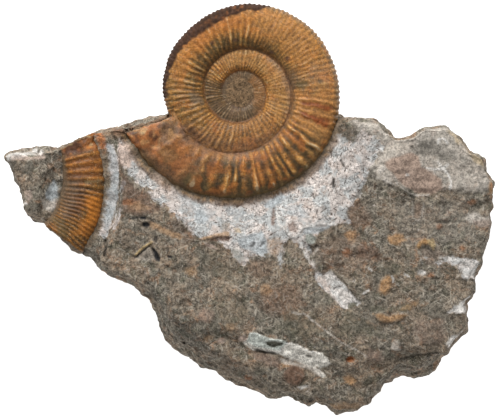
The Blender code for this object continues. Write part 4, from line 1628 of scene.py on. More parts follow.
    def at_ends(self, angle: Array, facings: Array) -> Array:
        """Where the rock that fills the whorl shows.

        Args:
            angle: each place's angle on the arc.
            facings: which way the surface faces at each.

        Returns:
            1 on the two broken ends and 0 elsewhere.
        """
        turned = np.radians(angle)
        lengthways = np.abs(facings[:, 1] * np.cos(turned) - facings[:, 0] * np.sin(turned))
        middle, half = 0.5 * (self.first_angle + self.last_angle), 0.5 * (self.last_angle - self.first_angle)
        return ease(0.5, 0.75, lengthways) * ease(half - 5, half - 3, np.abs(angle - middle))

    def colour(self, piece: Piece) -> None:
        """Keeps the whorl's stains and the pattern of its ribs at its points.

        Args:
            piece: the whorl.
        """
        places, facings = places_of(piece), facings_of(piece)
        angle, radius, share = self.unwound(places)
        rough = swells(places, (0.7, 2, 26), (0.5, 0.9, 27))
        paint = Paint(places)
        paint.mark(self.marks, ease(-0.2, 0.1, facings[:, 2]))
        paint.lay(Stain.GREY_BROWN, 0.75 * ease(0.16, 0.04, share + 0.03 * rough))
        paint.lay(Stain.BARK, 0.6 * ease(0.8, 0, self.venter - radius + 0.4 * rough))
        broken = ease(self.broken_from, self.broken_from + 4, angle + rough)
        paint.lay(Stain.BARK, 0.8 * broken * ease(-0.1, 0.4, wander(places, 1.7, 28)))
        paint.lay(Stain.SAND, 0.5 * broken * ease(0.3, 0.6, wander(places, 1.3, 29)))
        paint.lay(Stain.FLAME, 0.45 * broken * ease(0.1, 0.5, wander(places, 2.2, 18)))
        keep(piece, "stain", paint.colours, Kept.COLOUR)
        # The rib attribute places the painted highlight on the crests and the painted shade in the furrows.
        keep(piece, "rib", self.crest_at(angle, share) * ease(0, 0.14, share) * (1 - broken))
        keep(piece, "grit", np.maximum(0.35 * ease(0.1, 0, share), self.at_ends(angle, facings)))
        keep(piece, "dull", np.zeros(len(angle)))
        growth = np.stack([np.radians(angle) * radius, radius, np.zeros(len(angle))], axis=1)
        keep(piece, "growth", growth, Kept.PLACE)


# The block

LIGHT_AREAS = (
    Patch(Stain.CHALK, 0.58, 3, 1.5, (32, 30, 46, 32, 58, 28, 66, 26, 76, 14, 76, 6, 62, 6, 50, 6.5, 44,
        8.5, 38, 12, 36, 20)),
    Patch(Stain.ASH, 0.2, 4, 2, (44, 2, 70, 3, 72, -10, 50, -12)),
    Spot(Stain.UMBER, 0.3, 3, 2, (30, -14), (8, 6)),
    Spot(Stain.UMBER, 0.3, 3, 2, (-20, -5), (5, 6)),
    Spot(Stain.MOSS, 0.3, 3, 2, (-8, -33), (7, 5)),
    Spot(Stain.UMBER, 0.4, 3, 2, (9.8, -29), (7.04, 5.12)),
    Spot(Stain.UMBER, 0.35, 3, 2, (2.1, -18.8), (3.84, 2.88)),
    Spot(Stain.MOSS, 0.45, 3, 2, (16.2, -37), (8.32, 4.48)),
    Spot(Stain.MOSS, 0.45, 2.4, 1.6, (45, -19.1), (3.52, 2.24)),
    Patch(Stain.MOSS, 0.45, 2, 1.4, (30.9, -32.6, 37.9, -35.4, 42.1, -38, 42.7, -40.9, 33.4, -39.6, 28,
        -40.2)),
    Patch(Stain.SLATE, 0.4, 2.4, 1.6, (54.2, -31.3, 61, -32.9, 71.5, -32.2, 70.6, -35.4, 61, -34.8, 54.6,
        -33.2)),
    Patch(Stain.CLAY, 0.4, 2.6, 1.8, (52, -34.8, 56.2, -35.4, 62.2, -34.8, 62.9, -39.9, 60.3, -43.8, 54.6,
        -42.5, 51.7, -39.3)),
    Patch(Stain.MOSS, 0.35, 2.6, 1.8, (-17.4, -11.4, -11, -13.7, -5.6, -18.8, -3, -24.2, -8.8, -22.6, -14.2,
        -17.5)),
    Patch(Stain.CLAY, 0.35, 2.4, 1.6, (54.6, -13, 61, -11.8, 62.9, -15, 61, -18.8, 55.8, -17.5)),
    Patch(Stain.SLATE, 0.2, 3, 2, (38, -32, 62, -30, 60, -46, 40, -46)),
    Patch(Stain.ASH, 0, 3.2, 0.8, (39.5, 13, 42, 24, 62, 32, 84, 22, 84, 3.5, 53, 4, 46.5, 8), lift=-1.1),
    Spot(Stain.ASH, 0, 3.4, 0.8, (-41, 25), (3.6, 4.4), lift=-2.4),
    # Darker towards the lower-left edge: painted shade on the side that turns away from the light.
    Patch(Stain.SLATE, 0.35, 3, 1.5, (-33, -27, -29, -29.5, -27, -33.5, -19, -38.5, -13, -45, -3.5, -49.5,
        12, -57.5, 14, -60, 0, -58, -15, -53, -32, -42)),
)
WORKED_ZONE = Patch(Stain.CHALK, 1, 2.4, 1.3, (-42.1, 22.2, -42.1, 18.5, -40.2, 13.8, -38.2, 10.6, -35.8,
    7.6, -31.8, 6.5, -30.7, 3.3, -27, 0.7, -22.2, -2.8, -18.4, -7.3, -16.2, -9.2, -12, -8.6, -6.9, -12.1,
    -5.6, -15.3, -1.3, -19.1, -0.3, -15.9, 2.7, -14.5, 5.6, -14.5, 8.8, -15.3, 10.1, -18.2, 10.7, -13, 12.6,
    -9.8, 14.9, -10.8, 18.4, -15.3, 19.4, -12.1, 21.6, -7, 27.7, -5.2, 32, -4.4, 30.9, -0.9, 32.8, 1, 35.1,
    4.6, 37.3, 8.7, 38, 11.2, 38.9, 13.5, 40.2, 14.2, 40.9, 18.2, 43.4, 20.2, 39.2, 23.3, 35.8, 25.7, 32.8,
    21.5, 28.3, 24.4, 10, 20, -10, 20, -30, 20, -39.5, 22.8))
WORKED_STRIPS = (
    Patch(Stain.CHALK, 0.95, 0.5, 0.3, (21.1, -19.9, 24, -20.5, 26.3, -19.6, 35.4, -29.8, 34.5, -30.6, 32.7,
        -30.1, 31, -32.1, 29.3, -31.5, 25.8, -27.1, 23.4, -25.7, 21.7, -23.4, 20.5, -21.6), lift=-0.2),
    Streak(Stain.CHALK, 0.5, 1.2, 0.8, (17.9, -12.6, 19.6, -16.6, 21.8, -20.6), 1.2),
    Patch(Stain.CHALK, 0.95, 0.6, 0.6, (0.2, -39.7, 2.4, -39.4, 5.4, -41.1, 11.2, -42, 17, -43.8, 18.8,
        -44.9, 22.9, -46.1, 25.2, -48.1, 25.2, -49.5, 22.9, -49.5, 21.7, -49, 19.4, -49, 13, -47.8, 10.1,
        -46.3, 2.5, -44.6, 0.2, -43.1, -1, -41.7), lift=0.8),
    Patch(Stain.CHALK, 0.95, 0.5, 0.35, (-46.4, 21.5, -43.7, 20.7, -42.6, 18.2, -41.9, 15.2, -41.7, 8.5,
        -42.7, -0.2, -45.3, -8.6, -46.6, -9.5, -48, -8.2, -44.5, 9.2, -44.9, 11.9, -44.8, 17.9)),
    Patch(Stain.CHALK, 0.9, 0.8, 0.5, (-42.2, 1.6, -41, 0.4, -41, -2.1, -42.8, -6.6, -44, -6)),
    Patch(Stain.CHALK, 0.9, 0.8, 0.5, (-40.7, 9.6, -39.7, 9, -40, 6.5, -41.6, 2.5, -42.2, 2.8)),
    Patch(Stain.CHALK, 0.9, 1.2, 1, (61, -15.4, 65.3, -15, 72.3, -15.8, 73.4, -18.2, 73, -22.2, 69.4, -22.2,
        67, -21, 65.9, -18.2, 62.4, -17)),
    Patch(Stain.CHALK, 0.8, 1.2, 1, (60.4, -16, 64, -16, 65.7, -17.6, 62.8, -17.2, 60, -18, 58.7, -16.8)),
    Patch(Stain.CHALK, 0.9, 1.2, 1, (69.9, -28.6, 70.6, -30.3, 69.7, -33.8, 63.5, -32.9, 64.8, -31.6, 67.7,
        -30.3)),
    Patch(Stain.CHALK, 0.8, 1.2, 1, (63.2, -42.5, 64.9, -40.9, 67.7, -40, 68.1, -41.3, 65.7, -43.7, 63.6,
        -43.7)),
)
PALE_MARKS = (
    Patch(Stain.ROSE, 0.92, 0.9, 0.6, (43, 15.3, 51.4, 18.2, 53.8, 16.6, 54.6, 13.4, 57.8, 11.8, 61, 9.4,
        61.8, 6.2, 57.8, 4.9, 53, 5.4, 49.8, 7, 47.4, 8.9, 43.4, 13.4)),
    Streak(Stain.CHALK, 0.7, 0.5, 0.3, (40.5, 10.2, 48.2, 7, 51.4, 4.9, 53.6, 4.4, 57.1, 4.6), 0.5,
        lift=0.2),
    Streak(Stain.SOOT, 0.65, 0.6, 0.4, (44.3, 7.6, 47.5, 6.3, 49.8, 4.6, 52.3, 3.8), 0.6, lift=-0.3),
    Streak(Stain.SLATE, 0.6, 0.8, 0.5, (40.5, 13.2, 38.9, 11.9, 37.9, 8.7, 34.4, 4.2), 0.8, lift=-0.3),
    Spot(Stain.CHALK, 0.8, 0.6, 0.4, (42.1, 12.6), (1.44, 1.02), 40, lift=0.2),
    Patch(Stain.SLATE, 0.4, 1.8, 1.4, (53, 21.2, 57.1, 22.2, 62.2, 19.6, 65.8, 16.4, 64.2, 14.5, 54.6,
        17.7)),
    Streak(Stain.WHITE, 0.9, 0.4, 0.3, (60, 20.9, 60.3, 22.3, 61.9, 22.5, 62.9, 21.2), 0.55),
    Streak(Stain.WHITE, 0.9, 0.4, 0.3, (60, 15.1, 61.3, 13.2, 63.2, 11.3, 64.2, 8.7, 63.8, 6.2), 0.55),
    Streak(Stain.WHITE, 0.8, 0.4, 0.3, (56.5, 13.2, 59, 12.6, 61.3, 12.9, 63.2, 14.2), 0.55),
    Patch(Stain.SAND, 0.45, 1.6, 1, (63.5, 25, 66.7, 23.8, 68, 20.9, 66.1, 21.5, 64.2, 23.1)),
    Patch(Stain.SAND, 0.5, 1.6, 1, (69.9, 18.6, 73.1, 17, 75.4, 14.8, 75, 12.9, 69.9, 17)),
    Spot(Stain.HONEY, 0.6, 0.8, 0.4, (77.1, 6.8), (0.83, 2.08), -8),
    Patch(Stain.CHALK, 0.75, 1.4, 1, (68.6, -2.5, 71.2, -1.2, 75.4, -2.2, 77.3, -1.2, 77.6, -5, 75, -6,
        69.3, -4.1)),
    Streak(Stain.CHALK, 0.5, 0.4, 0.3, (52, 2.6, 52, -2.8, 53.6, -3.8, 54.9, -2.2, 55.5, 2), 0.4),
    Patch(Stain.UMBER, 0.4, 1.4, 0.8, (52.3, 2, 52.3, -2.2, 53.6, -3.1, 54.6, -1.5, 54.9, 2)),
    Patch(Stain.UMBER, 0.4, 2, 1.4, (31.2, 1, 35.4, 2, 38.9, -0.9, 37.9, -5.4, 32.8, -6, 30.9, -3.4)),
    Patch(Stain.SLATE, 0.55, 1.8, 1, (28.3, 26, 30.9, 26.3, 34.7, 25.4, 36, 23.1, 34.1, 21.2, 30.9, 21.2,
        29, 22.8), lift=-0.2),
    Streak(Stain.WHITE, 0.85, 0.9, 0.6, (-77.9, 16.6, -71.6, 18.2, -67, 18.4), 2.2),
    Streak(Stain.PINK, 0.6, 1, 0.6, (-76, 16.6, -70, 16.2, -66, 16.8), 1.2),
    Patch(Stain.SLATE, 0.55, 1.6, 0.8, (-77.1, 15.1, -74.3, 15.4, -71.9, 13.3, -70, 15.4, -67, 15.1, -68.2,
        12.6, -70.7, 11.4, -74.3, 12, -76.5, 13.3)),
    Patch(Stain.BLUE_GREY, 0.9, 0.9, 0.5, (-64.2, 7.4, -62.6, 9, -61.3, 7.4, -61.3, 3.9, -62.9, 2.6, -64.8,
        3, -65.1, 5.2)),
    Patch(Stain.CHALK, 0.75, 1, 0.8, (-66.4, 3.3, -63.8, 2.3, -61.6, 3.3, -62.2, 0.7, -64.2, -0.9, -66.4,
        0.1)),
    Patch(Stain.PINK, 0.5, 1, 0.7, (-71.9, 5.9, -69.7, 6.2, -69.1, 3.8, -70.7, 2.5, -71.7, 3.8)),
    Patch(Stain.WHITE, 0.8, 0.5, 0.3, (-72.5, 2.1, -71.3, 2.2, -71, 1.6, -72.2, 1.3)),
    Patch(Stain.WHITE, 0.8, 0.5, 0.3, (-69.4, -2.7, -67.3, -3.1, -67.6, -3.6, -69.1, -3.4)),
    Streak(Stain.SOOT, 0.7, 0.5, 0.3, (-60.6, 18.5, -60, 12, -60.3, 5, -61.8, 0.5, -62.6, -0.8), 0.5),
    Patch(Stain.UMBER, 0.85, 1.6, 1, (-44, 26, -40.8, 26.3, -25.4, 30.5, -25.4, 28.9, -35, 26, -38.9, 24.4,
        -44, 23.4)),
    Patch(Stain.TAN, 0.2, 1.4, 1, (-46.6, 25, -44, 25.8, -40.2, 25, -39.2, 23.8, -46.6, 22.8)),
    Patch(Stain.EMBER, 0.75, 1, 0.6, (-50.4, 24.4, -47.8, 24.9, -46.2, 23.1, -45.9, 19.9, -46.9, 18, -48.8,
        22.5)),
    Patch(Stain.GREY_BROWN, 0.5, 1.4, 1, (-38.2, 26.6, -31.8, 28.9, -25.4, 30.5, -26.1, 29.2, -37, 25.4)),
    Patch(Stain.UMBER, 0.55, 1.6, 1, (-41, 12.8, -36.2, 6.8, -32.4, 5.2, -31.2, 2.6, -28.8, 0.4, -31, -2,
        -40, -1.5, -40.8, 5)),
    Patch(Stain.TAN, 0.45, 1.4, 1, (-39, 3, -34.5, 2.2, -32, 0.4, -35, -0.8, -38.6, 0.6)),
    Patch(Stain.TAN, 0.75, 0.6, 0.4, (-16.4, -9.4, -9.4, -7.5, -6.7, -7.1, -6, -8.6, -10.6, -9, -14.5,
        -9.8), lift=0.5),
    Patch(Stain.PINK, 0.8, 0.6, 0.4, (-14.1, -10.6, -11.8, -11.2, -9.8, -12.9, -12.2, -12.7, -13.9, -11.6),
        lift=0.2),
    Spot(Stain.BLUE_GREY, 0.8, 1.2, 0.8, (-15.5, -2.5), (2.56, 1.92), -30),
    Patch(Stain.UMBER, 0.75, 0.5, 0.3, (-13.3, -9.7, -10.7, -8.7, -5.9, -8.9, -6.6, -10, -13, -10.3),
        lift=-0.4),
    Patch(Stain.SAND, 0.4, 0.8, 0.4, (-5.3, -5.7, -3, -6, -2.7, -7.6, -4.6, -7.6)),
    Patch(Stain.GREY_BROWN, 0.5, 0.9, 0.6, (-8.8, -4.7, -7.2, -3.8, -6.2, -5, -7.2, -7, -8.8, -6.3)),
    Patch(Stain.BLUE_GREY, 0.9, 0.8, 0.5, (4.6, 1, 5.9, 2.6, 8.5, 3.9, 11, 4.6, 11.7, 3.9, 9.8, 2, 7.2, 0.4,
        5.3, 0.4)),
    Patch(Stain.BLUE_GREY, 0.5, 1.4, 0.9, (-24.8, 6.8, -14.6, 1, -11.4, -1.5, -13.3, -4.1, -24.8, 3.6)),
    Patch(Stain.BLUE_GREY, 0.55, 1.2, 0.9, (-8.2, 0.4, -3.7, 0.4, -1.1, -0.9, -3, -2.8, -6.9, -2.2)),
    Patch(Stain.BLUE_GREY, 0.5, 1.2, 0.9, (11, 1, 14.9, 1.7, 18.7, -0.9, 16.2, -3.4, 12.3, -1.5)),
    Patch(Stain.BLUE_GREY, 0.8, 0.8, 0.6, (-3.4, -9.8, 0.2, -7.9, 4, -7, 5.6, -9.8, 5.9, -13.7, 2.7, -14.3,
        -2.7, -12.1)),
    Patch(Stain.TAN, 0.45, 1.2, 0.9, (5.6, -9.2, 9.8, -8.9, 10.7, -12.1, 8.5, -15.6, 5.9, -14.3)),
    Patch(Stain.GREEN_GREY, 0.5, 1.2, 0.8, (-6.2, -12.1, -3, -13, -1.4, -15.6, -3, -16.9, -5.3, -15)),
    Streak(Stain.UMBER, 0.75, 0.6, 0.4, (7.8, 0.1, 7.4, -4.7), 0.9, lift=-0.4),
    Streak(Stain.WHITE, 0.75, 0.5, 0.3, (8.7, -0.6, 9.4, -4.8, 11.6, -6.6, 13, -8.8, 14.8, -9.1, 17.2, -5.6,
        22.2, -4.8, 27.6, -4.8), 0.7, lift=0.35),
    Patch(Stain.UMBER, 0.6, 0.9, 0.6, (12, -5, 13.9, -3.8, 15.2, -5.4, 14.6, -7.3, 12.6, -7), lift=-0.3),
    Patch(Stain.BLUE_GREY, 0.8, 0.8, 0.5, (17.4, -6, 21.9, -5.4, 25.8, -5.4, 23.2, -7, 16.2, -8.6)),
    Patch(Stain.GREEN_GREY, 0.9, 0.7, 0.4, (17.8, -8.2, 19.7, -7.6, 21.3, -9.2, 20.6, -11.1, 18.7, -11.1,
        17.4, -9.8)),
    Patch(Stain.SOOT, 0.7, 0.8, 0.5, (18.7, -11.4, 20.6, -11.4, 22.2, -9.8, 21.9, -12.1, 20, -13, 18.4,
        -12.7), lift=-0.4),
    Streak(Stain.WHITE, 0.7, 0.5, 0.3, (15.5, -9.8, 18.3, -15.5), 0.6, lift=0.2),
    Streak(Stain.CHALK, 0.6, 0.4, 0.3, (19.7, -15, 22.2, -12.1), 0.4),
    Streak(Stain.SOOT, 0.6, 0.4, 0.3, (19, -14.6, 20.6, -12.7), 0.4, lift=-0.3),
    Patch(Stain.BLUE_GREY, 0.65, 0.6, 0.4, (-46.1, 21.2, -43.8, 20.4, -42.7, 18, -42.1, 15.1, -41.9, 8.4,
        -42.5, 1.7, -44.2, -4.1, -45.3, -6.6, -46.6, -6.6, -46.4, -1.8, -44.3, 9.2, -44.6, 18)),
    Patch(Stain.SOOT, 0.6, 0.4, 0.3, (-45.1, 16.4, -44, 16.2, -44, 14.8, -45, 14.8), lift=-0.2),
    Patch(Stain.PINK, 0.85, 1.2, 1, (-42, 21.6, -38.9, 20.6, -36.6, 15.8, -38.5, 13.2, -41.6, 14.4)),
    Patch(Stain.PALE_GREEN, 0.95, 0.5, 0.3, (0.5, -39.4, 2.7, -39.6, 5.9, -41, 11.7, -41.8, 11.7, -42.8,
        10.7, -44.1, 8.8, -45, 1.8, -44.4, -1.4, -42.3)),
    Patch(Stain.CREAM, 0.95, 0.6, 0.5, (11.7, -43.1, 13.6, -42.6, 16.8, -43.8, 19.4, -45.4, 23.2, -45.7,
        26.1, -49.2, 24.5, -50.2, 22.6, -50.8, 13, -47.3, 10.1, -45.7)),
    Streak(Stain.CREAM, 0.9, 0.5, 0.4, (-1.4, -42.5, 1.4, -44.4, 4.6, -44.6, 9.4, -45.7, 20, -50, 23.5,
        -53), 1.1),
    Patch(Stain.HONEY, 0.5, 0.8, 0.5, (10.1, -48.9, 12.6, -48.6, 13.6, -49.8, 11, -50.6)),
    Patch(Stain.WHITE, 0.5, 0.4, 0.25, (21.7, -20.8, 24, -21, 25.8, -19.4, 26.8, -20, 27.8, -22, 29.8,
        -23.4, 33.6, -28.1, 35.5, -29.6, 35.2, -30.2, 33.6, -29.6, 31.3, -29.8, 31, -31.9, 29.8, -31.6,
        27.8, -29.8, 21.5, -22.6)),
    Patch(Stain.PINK, 0.5, 0.8, 0.4, (21.7, -21, 24, -21.2, 25.1, -23.6, 25.4, -25.2, 27, -27.8, 29.3,
        -30.6, 27.8, -29.8, 21.5, -22.6)),
    Patch(Stain.CHALK, 0.85, 0.4, 0.2, (19.4, -16.6, 20.3, -16.2, 21.1, -17.5, 20.8, -19, 20, -18.2)),
    Patch(Stain.PINK, 0.8, 0.8, 0.5, (-3.4, -40.6, -1.8, -39.8, -0.5, -41.2, -1.8, -42.3, -3, -41.8)),
    Patch(Stain.CLAY, 0.55, 1.4, 1, (1.1, -45.4, 5.9, -46.3, 9.8, -47.9, 9.8, -51.4, 2.1, -47.6)),
    Patch(Stain.CHALK, 0.75, 0.8, 0.6, (9.4, -47.3, 13.6, -48.6, 21, -50.2, 23.5, -52.4, 21.9, -52.7, 18.7,
        -51.1, 10.4, -48.9)),
    Patch(Stain.PINK, 0.35, 2, 1, (-30, 14.5, -27, 9, -23, 5.5, -22, 3, -26, 3.5, -31, 10)),
    Streak(Stain.CHALK, 0.6, 0.4, 0.2, (17.1, -33.1, 29.4, -42.5, 34.2, -44.9, 37.5, -47), 0.4),
    Streak(Stain.CHALK, 0.6, 0.4, 0.2, (13.8, -32.7, 15.5, -33.3, 17.9, -33.5, 20, -35.6), 0.4),
    Spot(Stain.WHITE, 0.8, 0.5, 0.3, (50.3, 10.9), (0.5, 0.4)),
    Patch(Stain.CHALK, 0.6, 0.8, 0.5, (44.9, -44.5, 46.1, -42.5, 47.3, -43.7, 47.9, -44.9, 46.1, -44.9)),
    Patch(Stain.WHITE, 0.55, 1, 0.9, (60.6, -15.3, 65.3, -15, 70.6, -15.8, 72.5, -16.9, 70.6, -17.8, 62.9,
        -16.6)),
    Patch(Stain.WHITE, 0.55, 1.4, 1.2, (66.7, -17.5, 71.8, -16.9, 73.1, -18.8, 72.2, -21.7, 69.3, -21.7,
        67.4, -20.1)),
    Patch(Stain.WHITE, 0.95, 0.7, 0.6, (70.4, -27.6, 71.6, -30.3, 70.6, -34, 67, -33, 63.2, -33, 64.6,
        -31.2)),
    Patch(Stain.WHITE, 0.8, 0.9, 0.8, (69.8, -38, 69.6, -41.4, 64.2, -45.3, 62.4, -42.7, 64.9, -40.3)),
    Patch(Stain.WHITE, 0.7, 0.5, 0.3, (15.2, -56.8, 16.9, -56.4, 18.9, -56, 18.9, -56.8, 16.5, -57.4)),
    Patch(Stain.CLAY, 0.6, 1.4, 0.8, (70.7, -3.5, 77.7, -3.1, 77.3, -6.1, 74, -5.7, 71.4, -5)),
    Streak(Stain.SAND, 0.4, 1.4, 0.9, (66, 24.8, 71, 20.5, 77, 12.5), 1.4),
)
SPOTS = (
    Patch(Stain.OCHRE, 0.75, 0.7, 0.5, (53.1, -11.8, 53.9, -10.2, 55.8, -9.2, 57.4, -9.8, 56.8, -11.1, 54.9,
        -11.4, 53.9, -13), lift=0.5),
    Patch(Stain.SAND, 0.7, 0.7, 0.5, (56.5, -9.5, 58.4, -9.5, 59.7, -11.4, 58.7, -13, 57.4, -11.8),
        lift=0.5),
    Streak(Stain.SOOT, 0.6, 0.6, 0.4, (54.6, -12.4, 56.8, -12.4, 58.7, -14), 0.7, lift=-0.3),
    Patch(Stain.HONEY, 0.6, 1.2, 1, (44.3, -8.9, 46.2, -7.6, 48.8, -8.2, 49.8, -9.8, 47.5, -11.4, 45,
        -11.1), lift=0.2),
    Spot(Stain.HONEY, 0.45, 1.2, 1, (32.2, -8.6), (1.44, 1.76)),
    Spot(Stain.RUST, 0.5, 1.2, 0.7, (30.9, -13.7), (1.44, 1.12)),
    Patch(Stain.UMBER, 0.5, 1.4, 1, (34.7, -12.4, 38.6, -11.8, 41.8, -13.7, 41.8, -16.2, 37.9, -16.2, 34.7,
        -15)),
    Spot(Stain.SOOT, 0.5, 1.2, 0.6, (44.3, -20.4), (1.92, 1.02), 15, lift=-0.3),
    Spot(Stain.HONEY, 0.66, 1.1, 0.5, (43.4, -24.2), (2.88, 1.79), 72, lift=0.8),
    Streak(Stain.WHITE, 0.75, 0.4, 0.2, (45.3, -21.5, 45.9, -22.2, 45.6, -23.3), 0.5),
    Patch(Stain.MOSS, 0.55, 1.2, 0.8, (37.9, -30, 43.4, -31.3, 48.2, -30, 52, -30.3, 49.8, -32.6, 44.3,
        -32.9, 39.2, -32.6)),
    Patch(Stain.HONEY, 0.55, 1.2, 0.7, (39.4, -33.4, 42.1, -33.4, 44.3, -34.2, 47.8, -33.2, 49.6, -33.8,
        47.8, -35.3, 45, -36.1, 42.1, -35.8, 39.7, -34.5), lift=0.35),
    Streak(Stain.SOOT, 0.5, 0.8, 0.4, (40.2, -35.4, 43, -36.7, 46.9, -36.4, 49.4, -35.1), 0.7, lift=-0.3),
    Patch(Stain.OCHRE, 0.3, 1.2, 0.8, (47.8, -31.9, 49.8, -30.3, 52.6, -29.4, 54.2, -30, 52.6, -31.3, 49.8,
        -32.2), lift=0.3),
    Streak(Stain.WHITE, 0.8, 0.3, 0.2, (37.9, -18.8, 38.9, -19.4), 0.5),
    Streak(Stain.WHITE, 0.8, 0.3, 0.2, (49.4, -20.7, 50.7, -21.4), 0.5),
    Streak(Stain.WHITE, 0.8, 0.3, 0.2, (55.8, -15.3, 56.5, -15.6), 0.6),
    Streak(Stain.WHITE, 0.8, 0.3, 0.2, (36.3, -26.8, 37.9, -25.8), 0.5),
    Spot(Stain.WHITE, 0.8, 0.6, 0.4, (54.9, -20.1), (1.28, 0.64)),
    Spot(Stain.CHALK, 0.3, 0.8, 0.9, (46.6, -42.8), (1.6, 1.28), -30),
    Spot(Stain.BARK, 0.8, 0.6, 0.3, (31.5, -48.1), (0.77, 0.7), lift=-0.5),
    Spot(Stain.HONEY, 0.6, 1.2, 0.7, (31.8, -54.3), (1.92, 1.44), -30),
    Spot(Stain.CLAY, 0.55, 1.4, 0.8, (39.8, -46.6), (2.56, 1.92), -30),
    Streak(Stain.TAN, 0.65, 1, 0.7, (-31.5, -5, -21.9, -8.9), 1.6),
    Spot(Stain.ASH, 0.5, 1.4, 0.8, (-33.1, -14.3), (3.2, 2.24)),
    Spot(Stain.RUST, 0.42, 1, 0.7, (60.3, -5.5), (0.96, 0.83)),
    Spot(Stain.RUST, 0.85, 0.8, 0.3, (32.2, -47.9), (1.1, 1), lift=-0.8),
    Patch(Stain.TAN, 0.5, 0.8, 0.4, (29.8, -53.7, 31.8, -53.5, 34.2, -54.7, 33.4, -55.8, 31, -54.7)),
    Spot(Stain.RUST, 0.42, 1.2, 0.7, (71, 2.4), (1.2, 0.9)),
    Spot(Stain.RUST, 0.5, 0.8, 0.4, (67.7, -12.4), (1, 0.8)),
    Spot(Stain.RUST, 0.5, 0.8, 0.4, (-0.4, -54), (1.2, 0.9)),
    Spot(Stain.RUST, 0.45, 0.8, 0.4, (57.8, -21), (1, 0.8)),
    Patch(Stain.RUST, 0.5, 1, 0.8, (77.2, 8.5, 80, 10.4, 80, 3.4, 78, 3.4, 77.6, 5.3)),
    Spot(Stain.TAN, 0.6, 1.2, 0.5, (-18.6, -19.8), (2, 1.4)),
    Spot(Stain.CLAY, 0.6, 1.4, 0.8, (-13.8, -33.8), (2.6, 2.2)),
    Spot(Stain.TAN, 0.5, 1, 0.5, (-5.8, -37.6), (1.6, 1.2)),
    Spot(Stain.TAN, 0.5, 1, 0.5, (-13.1, -41), (1.6, 1)),
    Spot(Stain.PINK, 0.6, 0.8, 0.6, (-9.2, -41.8), (1.4, 1)),
    Spot(Stain.TAN, 0.5, 1.2, 0.5, (5.2, -25.6), (2, 2)),
    Spot(Stain.UMBER, 0.75, 1, 0.5, (14.1, -53), (3.4, 3.2), lift=1),
    Patch(Stain.TAN, 0.55, 1.4, 0.8, (26.1, -62.5, 30.2, -61.7, 34.2, -62.1, 35.9, -63.3, 28.1, -65.4)),
    Patch(Stain.TAN, 0.7, 0.8, 0.4, (-19.1, -45.4, -17.8, -46.2, -17, -49, -17.8, -49.2, -18.6, -47.4)),
    Spot(Stain.RUST, 0.5, 1, 0.6, (-38.5, 2.4), (2, 1)),
)
